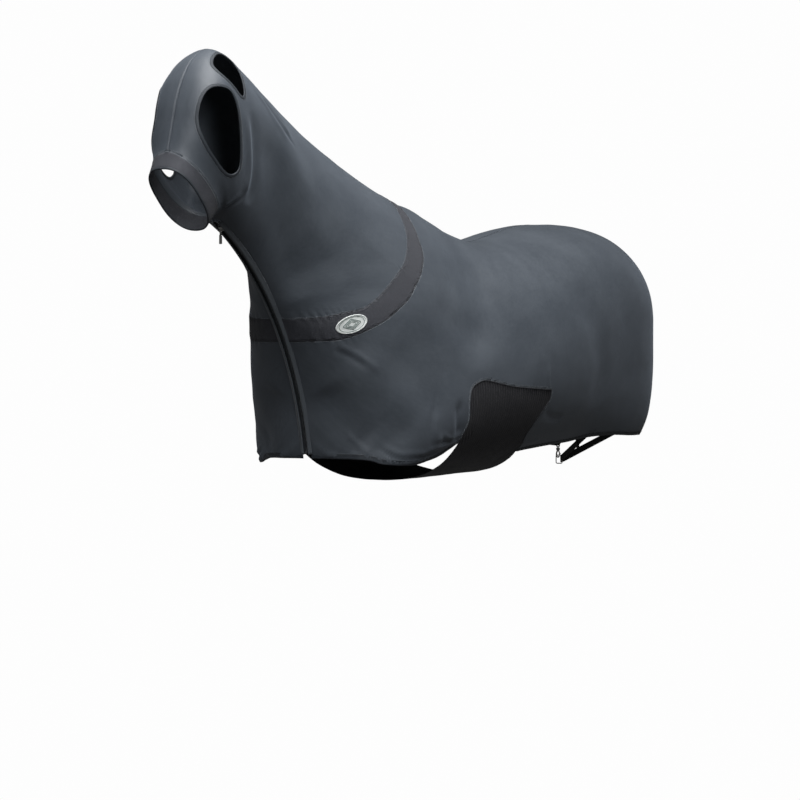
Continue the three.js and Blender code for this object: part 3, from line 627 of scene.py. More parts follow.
def make_knit():
    """Rows of slanted loops. Height is the loops, Shade is the uneven dye and stretch of the cloth."""
    group, inp, out = shader_group("knit", [("Place", None), ("Pitch", 0.0011), ("Patch", 6.0)],
                                   ["Height", "Shade"])
    place, pitch = inp.outputs["Place"], inp.outputs["Pitch"]
    wales = wave_along(group, place, 1, pitch)
    courses = wave_along(group, place, 0, math_node(group, "MULTIPLY", pitch, 1.3))
    loops = math_node(group, "MULTIPLY", wales, courses)
    grain = noise_node(group, place, 900.0, detail=2.0)
    height = math_node(group, "ADD", math_node(group, "MULTIPLY", loops, 0.5), grain)
    group.links.new(height, out.inputs["Height"])
    broad = noise_node(group, place, inp.outputs["Patch"], detail=4.0)
    fine = noise_node(group, place, 70.0, detail=5.0, roughness=0.7)
    shade = math_node(group, "ADD", math_node(group, "MULTIPLY", broad, 0.65),
                      math_node(group, "MULTIPLY", fine, 0.35))
    group.links.new(shade, out.inputs["Shade"])
    return group


def make_ribs():
    """Woven ribs across a strap or an elastic band, with small light flecks where the rubber shows."""
    group, inp, out = shader_group("ribs", [("Place", None), ("Pitch", 0.002), ("Fleck size", 420.0)],
                                   ["Height", "Fleck"])
    place = inp.outputs["Place"]
    rib = wave_along(group, place, 0, inp.outputs["Pitch"])
    cross = wave_along(group, place, 1, math_node(group, "MULTIPLY", inp.outputs["Pitch"], 0.5))
    height = math_node(group, "ADD", rib, math_node(group, "MULTIPLY", cross, 0.35))
    group.links.new(height, out.inputs["Height"])
    specks = noise_node(group, place, inp.outputs["Fleck size"], detail=1.0)
    group.links.new(spread(group, specks, 0.62, 0.74), out.inputs["Fleck"])
    return group


def make_wear():
    """Where a hard part is rubbed bright: on its edges, broken up by noise. Grime is the reverse."""
    group, inp, out = shader_group("wear", [("Place", None), ("Size", 200.0), ("Amount", 0.5)],
                                   ["Worn", "Grime", "Height"])
    pointy = group.nodes.new("ShaderNodeNewGeometry").outputs["Pointiness"]
    patch = noise_node(group, inp.outputs["Place"], inp.outputs["Size"], detail=5.0, roughness=0.65)
    edge = spread(group, pointy, 0.52, 0.58)
    worn = math_node(group, "MULTIPLY", math_node(group, "MULTIPLY", edge, patch), inp.outputs["Amount"])
    group.links.new(worn, out.inputs["Worn"])
    hollow = spread(group, pointy, 0.49, 0.42)
    group.links.new(math_node(group, "MULTIPLY", hollow, patch), out.inputs["Grime"])
    group.links.new(patch, out.inputs["Height"])
    return group


GROUPS = {"knit": make_knit(), "ribs": make_ribs(), "wear": make_wear()}
print("groups", ", ".join(GROUPS))

# %% [markdown]
# ## Finishes
# Shiny stretch knit is a dark cloth whose fine filaments catch light at a glance, so it gets a soft
# highlight and a little sheen on top of a dark colour. Elastic, binding and webbing are duller. The metal
# is plated and lightly rubbed. Every material is a Principled shader with its even values on its own
# sockets, and only what changes over the surface comes from nodes.

# %% Material helpers
def new_material(name, **sockets):
    material = bpy.data.materials.new(name)
    material.use_nodes = True
    shader = material.node_tree.nodes["Principled BSDF"]
    for label, value in sockets.items():
        shader.inputs[label.replace("_", " ")].default_value = value
    return material, material.node_tree, shader


def place_of(tree, uv=None):
    if uv:
        node = tree.nodes.new("ShaderNodeUVMap")
        node.uv_map = uv
        return node.outputs["UV"]
    return tree.nodes.new("ShaderNodeTexCoord").outputs["Object"]


def use(tree, group, place, **values):
    node = tree.nodes.new("ShaderNodeGroup")
    node.node_tree = GROUPS[group]
    tree.links.new(place, node.inputs["Place"])
    for label, value in values.items():
        node.inputs[label.replace("_", " ")].default_value = value
    return node.outputs


def colour_between(tree, share, dark, light):
    node = tree.nodes.new("ShaderNodeMix")
    node.data_type = "RGBA"
    node.inputs["A"].default_value = (*dark, 1)
    node.inputs["B"].default_value = (*light, 1)
    wire(tree, share, node.inputs["Factor"])
    return node.outputs["Result"]


def bump(tree, shader, height, strength, distance):
    node = tree.nodes.new("ShaderNodeBump")
    node.inputs["Strength"].default_value = strength
    node.inputs["Distance"].default_value = distance
    tree.links.new(height, node.inputs["Height"])
    tree.links.new(node.outputs["Normal"], shader.inputs["Normal"])


# %% Cloth finishes
def stretch_cloth():
    material, tree, shader = new_material(
        "stretch_cloth", Specular_IOR_Level=0.42, Sheen_Weight=0.16, Sheen_Roughness=0.42,
        Sheen_Tint=(0.62, 0.72, 0.86, 1))
    knit = use(tree, "knit", place_of(tree, "woven"))
    tree.links.new(colour_between(tree, spread(tree, knit["Shade"], 0.36, 0.64), (0.044, 0.052, 0.063),
                                  (0.064, 0.074, 0.087)), shader.inputs["Base Color"])
    tree.links.new(spread(tree, knit["Shade"], 0.35, 0.65, 0.44, 0.54), shader.inputs["Roughness"])
    bump(tree, shader, knit["Height"], 0.22, 0.0004)
    return material


def band_elastic():
    material, tree, shader = new_material("band_elastic", Specular_IOR_Level=0.3, Sheen_Weight=0.08,
                                          Sheen_Roughness=0.5)
    place = place_of(tree, "woven")
    ribs = use(tree, "ribs", place, Pitch=0.0026)
    knit = use(tree, "knit", place, Patch=14.0)
    base = colour_between(tree, knit["Shade"], (0.026, 0.028, 0.035), (0.042, 0.044, 0.054))
    fleck = tree.nodes.new("ShaderNodeMix")
    fleck.data_type = "RGBA"
    tree.links.new(ribs["Fleck"], fleck.inputs["Factor"])
    tree.links.new(base, fleck.inputs["A"])
    fleck.inputs["B"].default_value = (0.11, 0.115, 0.13, 1)
    tree.links.new(fleck.outputs["Result"], shader.inputs["Base Color"])
    tree.links.new(spread(tree, ribs["Fleck"], 0, 1, 0.62, 0.5), shader.inputs["Roughness"])
    bump(tree, shader, ribs["Height"], 0.5, 0.0006)
    return material


def plain_cloth(name, dark, light, rough, pitch=0.0009, sheen=0.06, uv=None):
    """A dull cloth or thread: binding, tape and sewing thread differ only in their values."""
    material, tree, shader = new_material(name, Specular_IOR_Level=0.3, Sheen_Weight=sheen,
                                          Sheen_Roughness=0.5)
    knit = use(tree, "knit", place_of(tree, uv), Pitch=pitch, Patch=30.0)
    tree.links.new(colour_between(tree, knit["Shade"], dark, light), shader.inputs["Base Color"])
    tree.links.new(spread(tree, knit["Shade"], 0.3, 0.7, rough - 0.06, rough + 0.06),
                   shader.inputs["Roughness"])
    bump(tree, shader, knit["Height"], 0.45, 0.0003)
    return material


def webbing_cloth():
    material, tree, shader = new_material("webbing", Specular_IOR_Level=0.35, Sheen_Weight=0.05,
                                          Sheen_Roughness=0.5)
    ribs = use(tree, "ribs", place_of(tree, "woven"), Pitch=0.0016)
    tree.links.new(colour_between(tree, ribs["Fleck"], (0.008, 0.008, 0.009), (0.035, 0.035, 0.037)),
                   shader.inputs["Base Color"])
    tree.links.new(spread(tree, ribs["Fleck"], 0, 1, 0.7, 0.55), shader.inputs["Roughness"])
    bump(tree, shader, ribs["Height"], 0.7, 0.0005)
    return material


# %% Hard finishes
def metal(name, colour, worn, rough):
    material, tree, shader = new_material(name, Metallic=1.0)
    place = place_of(tree)
    wear = use(tree, "wear", place, Size=260.0, Amount=1.0)
    tree.links.new(colour_between(tree, wear["Worn"], colour, worn), shader.inputs["Base Color"])
    rubbed = math_node(tree, "ADD", math_node(tree, "MULTIPLY", wear["Height"], 0.22), rough)
    tree.links.new(math_node(tree, "ADD", rubbed, wear["Grime"]), shader.inputs["Roughness"])
    bump(tree, shader, wear["Height"], 0.12, 0.0002)
    return material


def moulded(name, dark, light, rough):
    material, tree, shader = new_material(name, Specular_IOR_Level=0.45)
    wear = use(tree, "wear", place_of(tree), Size=420.0, Amount=0.8)
    tree.links.new(colour_between(tree, wear["Worn"], dark, light), shader.inputs["Base Color"])
    tree.links.new(spread(tree, wear["Height"], 0.3, 0.7, rough, rough + 0.16), shader.inputs["Roughness"])
    bump(tree, shader, wear["Height"], 0.25, 0.0002)
    return material


MATERIALS = {
    "stretch_cloth": stretch_cloth(),
    "band_elastic": band_elastic(),
    "girth_elastic": plain_cloth("girth_elastic", (0.009, 0.009, 0.011), (0.016, 0.016, 0.020), 0.62,
                                 uv="woven"),
    "binding": plain_cloth("binding", (0.016, 0.020, 0.025), (0.028, 0.034, 0.042), 0.55, uv="woven"),
    "thread": plain_cloth("thread", (0.17, 0.185, 0.20), (0.27, 0.29, 0.31), 0.45, pitch=0.0006),
    "dark_thread": plain_cloth("dark_thread", (0.020, 0.022, 0.026), (0.040, 0.043, 0.05), 0.55,
                               pitch=0.0006),
    # the zip lips: the suit's cloth painted lighter, a painted sheen along the raised lip
    "lip_cloth_painted_sheen": plain_cloth("lip_cloth_painted_sheen", (0.060, 0.069, 0.080), (0.088, 0.100, 0.112), 0.42, sheen=0.2,
                             uv="woven"),
    "piping": plain_cloth("piping", (0.11, 0.125, 0.14), (0.17, 0.19, 0.21), 0.45, sheen=0.15, uv="woven"),
    "webbing": webbing_cloth(),
    "zip_tape": plain_cloth("zip_tape", (0.020, 0.023, 0.027), (0.034, 0.038, 0.043), 0.7, uv="woven"),
    "zip_teeth": moulded("zip_teeth", (0.030, 0.034, 0.038), (0.10, 0.105, 0.11), 0.30),
    "strap_slide": moulded("strap_slide", (0.010, 0.010, 0.011), (0.05, 0.05, 0.052), 0.38),
    "badge": moulded("badge", (0.66, 0.69, 0.67), (0.86, 0.88, 0.86), 0.36),
    "badge_device": moulded("badge_device", (0.075, 0.115, 0.105), (0.20, 0.25, 0.24), 0.40),
    "swivel_brass": metal("swivel_brass", (0.30, 0.28, 0.16), (0.62, 0.56, 0.34), 0.30),
    "nickel": metal("nickel", (0.50, 0.50, 0.48), (0.80, 0.80, 0.78), 0.20),
}
print(len(MATERIALS), "materials")

# %% [markdown]
# ## Making pieces
# A piece is a plain mesh with its place in its vertices. It gets a UV map called "woven" that holds real
# lengths in metres along and across the cloth, so that a weave keeps its size wherever the cloth goes. Each
# piece is then parented to the body it rides on and takes the finish of its slot, or a finish named for it,
# and the node it stands for is hidden.

# %% Piece helpers
def mesh_object(name, points, faces, uvs=None):
    mesh = bpy.data.meshes.new(name)
    mesh.from_pydata([tuple(p) for p in points], [], faces)
    if uvs is not None:
        layer = mesh.uv_layers.new(name="woven")
        corner = np.zeros(len(mesh.loops), int)
        mesh.loops.foreach_get("vertex_index", corner)
        layer.uv.foreach_set("vector", np.asarray(uvs)[corner].ravel())
    mesh.polygons.foreach_set("use_smooth", [True] * len(mesh.polygons))
    mesh.validate()
    made = bpy.data.objects.new(name, mesh)
    bpy.context.scene.collection.objects.link(made)
    return made


def settle(piece, body, slot, *nodes, finish=None):
    """Give a piece the finish of its slot (or the named finish) if it has none, parent it to its body, and
    hide the nodes it stands for.
    """
    if not piece.data.materials:
        piece.data.materials.append(MATERIALS[finish or slot])
    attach(piece, body)
    if nodes:
        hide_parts(*nodes)
    return piece


def mirror_points(points):
    return points * np.array([1, -1, 1])


def cloth_object(name, cloth, side):
    """A piece of one half as a mesh; the right half is turned over the middle plane."""
    points, faces = cloth.co, cloth.faces
    if side == RIGHT:
        points = mirror_points(points)
        faces = [f[::-1] for f in faces]
    return mesh_object(name, points, faces, cloth.woven)


def thicken(piece, thickness, proud=0.0):
    """Give cloth its thickness: inwards from the surface, and proud of it by a little where it is raised."""
    wall = piece.modifiers.new("thickness", "SOLIDIFY")
    wall.thickness = thickness
    wall.offset = 2 * proud / thickness - 1
    return piece


# %% [markdown]
# ## The panels
# Hood and neck, shoulder band, body, nose band and girth are each cut from the folded halves. The side
# panels stay separate left and right, because the real ones meet in a seam down the spine.

# %% Cut the panels
CLOTH_WALL = 0.0016
BAND_WALL = 0.0026
BAND_PROUD = 0.0008
panels = {}
for side in (LEFT, RIGHT):
    whole = halves[side]
    neck = cut(cut(cut(cut(whole, "band_front", -1), "muzzle"), "eye", -1), "ear", -1)
    panels["hood_neck", side] = cut(neck, "zip")
    panels["shoulder_band", side] = cut(cut(cut(whole, "band_front"), "band_rear", -1), "zip")
    trunk = cut(cut(whole, "band_rear"), "girth", -1)
    panels["body_panel", side] = cut(cut(cut(trunk, "front_hem"), "rear_hem"), "zip")
    panels["muzzle_band", side] = cut(whole, "muzzle", -1)
    for name, part in panels:
        if part == side:
            print(side, name, len(panels[name, part].faces), "faces")

# %% Make the side panels
for side in (LEFT, RIGHT):
    for name, slot in (("hood_neck", "stretch_cloth"), ("body_panel", "stretch_cloth"),
                       ("shoulder_band", "band_elastic")):
        band = name == "shoulder_band"
        piece = cloth_object(f"{name}_{side}_cloth", panels[name, side], side)
        thicken(piece, BAND_WALL if band else CLOTH_WALL, BAND_PROUD if band else 0)
        settle(piece, "root", slot, f"{name}_{side}")

# %% [markdown]
# ## Nose band and girth
# Both of these run round under the animal in one piece, so their halves are welded on the middle line. The
# girth is a black elastic panel that is sewn to a longer edge of cloth, so it is ruched: short folds run
# down from its top seam and die out. They are finer than the cells of the body, so the girth gets its own
# finer mesh of the same surface.

# %% Halves welded into one piece
GIRTH_CELL = 0.0032
GATHER = 0.0019
GATHER_PITCH = 0.0115
GATHER_DEPTH = 0.024


def welded(name, left_cloth, right_cloth):
    """Two halves as one mesh, joined along the middle line."""
    points = np.vstack([left_cloth.co, mirror_points(right_cloth.co)])
    faces = left_cloth.faces + [[i + len(left_cloth.co) for i in f[::-1]] for f in right_cloth.faces]
    across = np.vstack([left_cloth.woven,
                        right_cloth.woven * (1, -1) + (0, 2 * left_cloth.woven[:, 1].max())])
    piece = mesh_object(name, points, faces, across)
    mesh = bmesh.new()
    mesh.from_mesh(piece.data)
    bmesh.ops.remove_doubles(mesh, verts=mesh.verts, dist=0.0002)
    mesh.to_mesh(piece.data)
    mesh.free()
    return piece


def gather(cloth, line, seed):
    """Short folds that run away from a seam, and shallower ones over the rest of the piece."""
    near, share, _ = near_line(cloth.rest[:, [0, 2]], spline(line, 60))
    wander = 0.0035 * soft_noise(cloth.rest, 0.03, seed)
    turn = 2 * math.pi * (cloth.rest[:, 0] + wander) / GATHER_PITCH
    uneven = 0.65 + 0.5 * soft_noise(cloth.rest, 0.02, seed + 1)
    deep = GATHER * np.exp(-((near / GATHER_DEPTH) ** 2)) + 0.0004
    cloth.co = cloth.co + cloth.normal * (deep * uneven * (np.sin(turn) - 0.6))[:, None]


fine_rows = rows_for(GIRTH_CELL)
fine_rows = fine_rows[(fine_rows > 14.5) & (fine_rows < 20.5)]
for side, seed in ((LEFT, 1), (RIGHT, 11)):
    fine = half_cloth(fine_rows, 230, 0.38)
    fold(fine, side, seed)
    gather(fine, GIRTH_TOP, seed + 20)
    panels["girth_panel", side] = cut(fine, "girth")
for name, slot in (("muzzle_band", "band_elastic"), ("girth_panel", "girth_elastic")):
    piece = welded(f"{name}_cloth", panels[name, LEFT], panels[name, RIGHT])
    thicken(piece, BAND_WALL if name == "muzzle_band" else CLOTH_WALL, BAND_PROUD / 2)
    settle(piece, "root", slot, name)
    print(name, len(piece.data.polygons), "faces")

# %% [markdown]
# ## Seams, bindings and hems
# Every edge of the suit is finished: the eye and ear holes have a folded binding, the hems are turned and
# bound, the panels meet in flat raised seams. Each of these is a section swept along an edge that the cut
# left in the cloth, so it follows every fold. The sweep carries a frame of three directions with it: along
# the edge, out of the cloth, and across into the cloth.

# %% Sweeps
def unit(vectors):
    return vectors / np.maximum(np.linalg.norm(vectors, axis=-1, keepdims=True), 1e-12)


class Rail:
    """A line on the cloth, evenly spaced, with the cloth's normal at each point."""

    def __init__(self, points, normals, spacing, closed=False, soften=2):
        points, normals = np.array(points, float), np.array(normals, float)
        if closed:
            points, normals = np.vstack([points, points[:1]]), np.vstack([normals, normals[:1]])
        length = np.concatenate([[0], np.cumsum(np.linalg.norm(np.diff(points, axis=0), axis=1))])
        count = max(int(round(length[-1] / spacing)), 3)
        at_length = np.linspace(0, length[-1], count + 1)
        if closed:
            at_length = at_length[:-1]
        self.closed = closed
        self.points = np.stack([np.interp(at_length, length, points[:, k]) for k in range(3)], 1)
        self.normals = unit(np.stack([np.interp(at_length, length, normals[:, k]) for k in range(3)], 1))
        for _ in range(soften):
            before, after = self.neighbours(self.points)
            smoothed = (before + 2 * self.points + after) / 4
            if not closed:
                smoothed[[0, -1]] = self.points[[0, -1]]
            self.points = smoothed
        before, after = self.neighbours(self.points)
        self.tangents = unit(after - before)
        self.normals = unit(self.normals - self.tangents * (self.normals * self.tangents).sum(1)[:, None])
        self.across = np.cross(self.normals, self.tangents)
        self.length = length[-1]

    def neighbours(self, p):
        if self.closed:
            return np.roll(p, 1, 0), np.roll(p, -1, 0)
        return np.vstack([p[:1], p[:-1]]), np.vstack([p[1:], p[-1:]])

    def moved(self, across=0.0, out=0.0):
        return self.points + self.across * across + self.normals * out


class Parts:
    """Points, faces and UVs of several shapes gathered into one mesh."""

    def __init__(self):
        self.points, self.faces, self.uvs, self.count = [], [], [], 0

    def add(self, points, faces, uvs):
        self.points.append(np.asarray(points))
        self.uvs.append(np.asarray(uvs))
        self.faces += [[i + self.count for i in f] for f in faces]
        self.count += len(points)
        return self

    def build(self, name, side=LEFT):
        points = np.vstack(self.points)
        faces = self.faces
        if side == RIGHT:
            points, faces = mirror_points(points), [f[::-1] for f in faces]
        return mesh_object(name, points, faces, np.vstack(self.uvs))


def sweep(parts, rail, section, taper=None):
    """Carry a closed section of (across, out) offsets along a rail. Open rails get flat end caps.
    The section is one outline, or one outline for each point of the rail."""
    section = np.array(section, float)
    rings, ring = len(rail.points), section.shape[-2]
    size = np.ones(rings) if taper is None else taper
    offsets = np.broadcast_to(section, (rings, ring, 2)) * size[:, None, None]
    points = (rail.points[:, None] + rail.across[:, None] * offsets[..., :1]
              + rail.normals[:, None] * offsets[..., 1:])
    loops = rings if rail.closed else rings - 1
    faces = [[i * ring + k, i * ring + (k + 1) % ring,
              (i + 1) % rings * ring + (k + 1) % ring, (i + 1) % rings * ring + k]
             for i in range(loops) for k in range(ring)]
    if not rail.closed:
        faces += [list(range(ring))[::-1], [(rings - 1) * ring + k for k in range(ring)]]
    step = np.linalg.norm(np.diff(offsets[0], axis=0), axis=1)
    round_ = np.concatenate([[0], np.cumsum(step)])
    along = np.linspace(0, rail.length, rings)
    uvs = np.stack(np.broadcast_arrays(along[:, None], round_[None]), 2).reshape(-1, 2)
    return parts.add(points.reshape(-1, 3), faces, uvs)


def rounded_section(low, high, bottom, top, radius=0.3, steps=3):
    """A rounded rectangle between two values across and two values out."""
    r = radius * min(high - low, top - bottom)
    corners = [(high - r, bottom + r, -90), (high - r, top - r, 0), (low + r, top - r, 90),
               (low + r, bottom + r, 180)]
    points = []
    for x, y, start in corners:
        for k in range(steps + 1):
            a = math.radians(start + 90 * k / steps)
            points.append((x + r * math.cos(a), y + r * math.sin(a)))
    return points


def round_section(radius, sides=10, squash=1.0):
    angles = [2 * math.pi * k / sides for k in range(sides)]
    return [(radius * math.cos(a), radius * squash * math.sin(a)) for a in angles]


def edge_rails(cloth, name, spacing=0.004, soften=3, shortest=0.05):
    """The rails of a piece's edges on one cutting line."""
    rails = []
    for line, closed in edge_lines(cloth, name):
        if len(line) > 4:
            rail = Rail(cloth.co[line], cloth.normal[line], spacing, closed, soften)
            if rail.length > shortest:
                rails.append(rail)
    return rails


rails = {}
for side in (LEFT, RIGHT):
    neck, trunk = panels["hood_neck", side], panels["body_panel", side]
    nose = panels["muzzle_band", side]
    rails["eye", side] = edge_rails(neck, "eye")
    rails["ear", side] = edge_rails(neck, "ear")
    rails["band_front", side] = edge_rails(neck, "band_front")
    rails["band_rear", side] = edge_rails(trunk, "band_rear")
    rails["front_hem", side] = edge_rails(trunk, "front_hem")
    rails["rear_hem", side] = edge_rails(trunk, "rear_hem")
    rails["muzzle", side] = edge_rails(neck, "muzzle")
    rails["muzzle_edge", side] = edge_rails(nose, "muzzle_edge")
    rails["girth", side] = edge_rails(trunk, "girth")
    rails["face", side] = edge_rails(neck, "centre")
    rails["spine", side] = edge_rails(trunk, "centre")
print("rails", ", ".join(f"{name} {sum(r.length for r in found):.2f} m"
                         for (name, side), found in rails.items() if side == LEFT))

# %% [markdown]
# The eye and ear bindings are soft dark tape folded round the raw edge, so their section is a rounded roll
# that laps further on the outside than it stands proud. The hems are the same idea, wider and flatter. A
# swept section was chosen over a bevel on the cloth's edge because it can be a cloth of its own.

# %% Bindings and hems
BINDING_LAP = 0.0075
BINDING_OUT = 0.0011
HEM_OUT = 0.0009
HEM_ROLL = 0.0012


def binding_section(lap, beyond, out, wall):
    """A folded tape round an edge: lap is how far it reaches in, beyond how far past the raw edge."""
    return rounded_section(-beyond, lap, -wall - out, out, radius=0.45, steps=4)


def hem_section(wall):
    """A flat turned hem with a fuller roll at its lower edge."""
    low, high = -HEM_ROLL, HEM_WIDTH
    return [(low + 0.0004, -wall - HEM_OUT), (high - 0.0005, -wall - HEM_OUT), (high, -wall),
            (high, 0.0002), (high - 0.0005, HEM_OUT * 0.75), (0.0100, HEM_OUT * 0.6), (0.0060, HEM_OUT),
            (0.0034, HEM_OUT * 1.05), (0.0010, HEM_OUT * 1.5), (low + 0.0004, HEM_OUT), (low, 0),
            (low, -wall)]


def swept(name, side, runs, section, slot, *nodes, finish=None):
    """One piece with the same section along several rails."""
    parts = Parts()
    for rail in runs:
        sweep(parts, rail, section)
    return settle(parts.build(name, side), "root", slot, *nodes, finish=finish)


for side in (LEFT, RIGHT):
    roll = binding_section(BINDING_LAP, 0.0012, BINDING_OUT, CLOTH_WALL)
    swept(f"eye_binding_{side}_tape", side, rails["eye", side], roll, "binding", f"eye_binding_{side}")
    swept(f"ear_binding_{side}_tape", side, rails["ear", side], roll, "binding", f"ear_binding_{side}")
    for hem in ("front_hem", "rear_hem"):
        swept(f"{hem}_{side}_turned", side, rails[hem, side], hem_section(CLOTH_WALL), "binding",
              f"{hem}_{side}")
    nose_roll = binding_section(0.0060, 0.0008, 0.0012, BAND_WALL - BAND_PROUD)
    swept(f"nose_edge_{side}_tape", side, rails["muzzle_edge", side], nose_roll, "binding")

# %% [markdown]
# Where two cloths meet the maker sews a flat seam and covers it: from outside it is a low ridge with a row
# of stitching on each side. The ridge is a narrow swept cord. The seam of the face and the spine seam are
# the finest, and the seam over the nose band is paler because its thread is lighter.

# %% Seam ridges
def ridge(radius, flat=0.5):
    return round_section(radius, 8, flat)


for side in (LEFT, RIGHT):
    swept(f"band_seams_{side}", side, rails["band_front", side] + rails["band_rear", side],
          ridge(0.0012, 0.9),
          "binding", finish="dark_thread")
    swept(f"girth_seam_{side}", side, rails["girth", side], ridge(0.0017, 0.9), "binding",
          finish="dark_thread")
    swept(f"nose_seam_{side}", side, rails["muzzle", side], ridge(0.0010, 1.0), "band_elastic",
          finish="piping")
swept("face_seam", LEFT, rails["face", LEFT], ridge(0.0011, 0.75), "stretch_cloth")
swept("spine_seam", LEFT, rails["spine", LEFT], ridge(0.0011, 0.6), "stretch_cloth")

# %% [markdown]
# ## Stitching
# A stitch is a short grain of thread lying along a line, thousands of times over, so it is made by
# Geometry Nodes: the tree resamples each line at the pitch, turns a small grain to lie along it and to
# face out of the cloth, and varies its length a little from a fixed seed.

# %% The stitching tree
def tree_inputs(tree, sockets):
    for label, kind, value in sockets:
        socket = tree.interface.new_socket(label, in_out="INPUT", socket_type=f"NodeSocket{kind}")
        if value is not None:
            socket.default_value = value
    tree.interface.new_socket("Geometry", in_out="OUTPUT", socket_type="NodeSocketGeometry")


def add_node(tree, kind, **inputs):
    node = tree.nodes.new(kind)
    for label, value in inputs.items():
        wire(tree, value, node.inputs[label.replace("_", " ")])
    return node


def along_a_line(tree, given, grain):
    """The rest of a tree that puts one grain at each step of every line, and ends it."""
    curve = add_node(tree, "GeometryNodeMeshToCurve", Mesh=given["Geometry"])
    steps = add_node(tree, "GeometryNodeResampleCurve", Curve=curve.outputs["Curve"])
    steps.mode = "LENGTH"
    tree.links.new(given["Pitch"], steps.inputs["Length"])
    lie = add_node(tree, "FunctionNodeAlignRotationToVector",
                   Vector=tree.nodes.new("GeometryNodeInputTangent").outputs["Tangent"])
    lie.axis = "X"
    outward_node = tree.nodes.new("GeometryNodeInputNamedAttribute")
    outward_node.data_type = "FLOAT_VECTOR"
    outward_node.inputs["Name"].default_value = "outward"
    face = add_node(tree, "FunctionNodeAlignRotationToVector", Rotation=lie.outputs["Rotation"],
                    Vector=outward_node.outputs["Attribute"])
    face.axis = "Z"
    face.pivot_axis = "X"
    vary = tree.nodes.new("FunctionNodeRandomValue")
    vary.data_type = "FLOAT"
    for socket, value in ((vary.inputs[2], 0.88), (vary.inputs[3], 1.0), (vary.inputs["Seed"], 7)):
        socket.default_value = value
    place = add_node(tree, "GeometryNodeInstanceOnPoints", Points=steps.outputs["Curve"], Instance=grain,
                     Rotation=face.outputs["Rotation"], Scale=vary.outputs[1])
    solid = add_node(tree, "GeometryNodeRealizeInstances", Geometry=place.outputs["Instances"])
    finish = add_node(tree, "GeometryNodeSetMaterial", Geometry=solid.outputs["Geometry"],
                      Material=given["Finish"])
    tree.links.new(finish.outputs["Geometry"], tree.nodes.new("NodeGroupOutput").inputs[0])


def make_stitching_tree():
    tree = bpy.data.node_groups.new("stitching", "GeometryNodeTree")
    tree_inputs(tree, [("Geometry", "Geometry", None), ("Pitch", "Float", 0.004), ("Length", "Float", 0.003),
                       ("Width", "Float", 0.0009), ("Height", "Float", 0.0007), ("Finish", "Material", None)])
    given = tree.nodes.new("NodeGroupInput").outputs
    grain = tree.nodes.new("GeometryNodeMeshIcoSphere")
    grain.inputs["Radius"].default_value = 0.5
    size = add_node(tree, "ShaderNodeCombineXYZ", X=given["Length"], Y=given["Width"], Z=given["Height"])
    shaped = add_node(tree, "GeometryNodeTransform", Geometry=grain.outputs["Mesh"], Scale=size.outputs[0])
    along_a_line(tree, given, shaped.outputs["Geometry"])
    return tree


def line_object(runs):
    """Lines as an edge mesh that carries the outward direction; runs are (points, normals, closed)."""
    points, normals, edges = [], [], []
    for p, n, closed in runs:
        first = len(points)
        points += [tuple(x) for x in p]
        normals += [tuple(x) for x in n]
        edges += [(first + k, first + k + 1) for k in range(len(p) - 1)]
        if closed:
            edges.append((first + len(p) - 1, first))
    mesh = bpy.data.meshes.new("lines")
    mesh.from_pydata(points, edges, [])
    direction = mesh.attributes.new("outward", "FLOAT_VECTOR", "POINT")
    direction.data.foreach_set("vector", np.array(normals, np.float32).ravel())
    made = bpy.data.objects.new("lines", mesh)
    bpy.context.scene.collection.objects.link(made)
    return made


def grown(name, source, tree, **inputs):
    """Run a tree on an object and return the result as a plain mesh."""
    modifier = source.modifiers.new("tree", "NODES")
    modifier.node_group = tree
    for item in tree.interface.items_tree:
        if item.in_out == "INPUT" and item.name in inputs:
            modifier[item.identifier] = inputs[item.name]
    bpy.context.view_layer.update()
    ready = source.evaluated_get(bpy.context.evaluated_depsgraph_get())
    mesh = bpy.data.meshes.new_from_object(ready)
    bpy.data.objects.remove(source)
    mesh.name = name
    mesh.polygons.foreach_set("use_smooth", [True] * len(mesh.polygons))
    made = bpy.data.objects.new(name, mesh)
    bpy.context.scene.collection.objects.link(made)
    return made


STITCHING = make_stitching_tree()


def stitches(name, side, runs, slot, thread, pitch=0.0042, length=0.0031, width=0.0009):
    """A row of stitches for each (rail, across, out)."""
    lines = []
    for rail, across, out in runs:
        points, normals = rail.moved(across, out), rail.normals
        if side == RIGHT:
            points, normals = mirror_points(points), mirror_points(normals)
        lines.append((points, normals, rail.closed))
    piece = grown(name, line_object(lines), STITCHING, Pitch=pitch, Length=length, Width=width,
                  Height=0.8 * width, Finish=MATERIALS[thread])
    return settle(piece, "root", slot)


# %% Rows of stitches
SEAM_ROW = 0.0032
total = 0
for side in (LEFT, RIGHT):
    hems = rails["front_hem", side] + rails["rear_hem", side]
    rows = {
        "hem_stitching": ("binding", "dark_thread", [(r, a, 0.0010) for r in hems for a in (0.0088, 0.0118)]),
        "band_stitching": ("band_elastic", "dark_thread",
                           [(r, a, 0.0011) for n in ("band_front", "band_rear") for r in rails[n, side]
                            for a in (-SEAM_ROW, -0.0062)]),
        "band_edge_stitching": ("stretch_cloth", "thread",
                                [(r, SEAM_ROW, 0.0003) for n in ("band_front", "band_rear")
                                 for r in rails[n, side]]),
        "eye_stitching": ("binding", "thread", [(r, 0.0088, 0.0003) for r in rails["eye", side]]),
        "ear_stitching": ("binding", "thread", [(r, 0.0088, 0.0003) for r in rails["ear", side]]),
        "nose_stitching": ("stretch_cloth", "thread",
                           [(r, a, 0.0004) for r in rails["muzzle", side] for a in (SEAM_ROW, 0.0062)]),
        "nose_edge_stitching": ("band_elastic", "dark_thread",
                                [(r, 0.0072, 0.0006) for r in rails["muzzle_edge", side]]),
        "girth_stitching": ("stretch_cloth", "thread",
                            [(r, a, 0.0003) for r in rails["girth", side] for a in (SEAM_ROW, 0.0064)]),
    }
    for name, (slot, thread, runs) in rows.items():
        piece = stitches(f"{name}_{side}", side, runs, slot, thread)
        total += len(piece.data.polygons) // 20
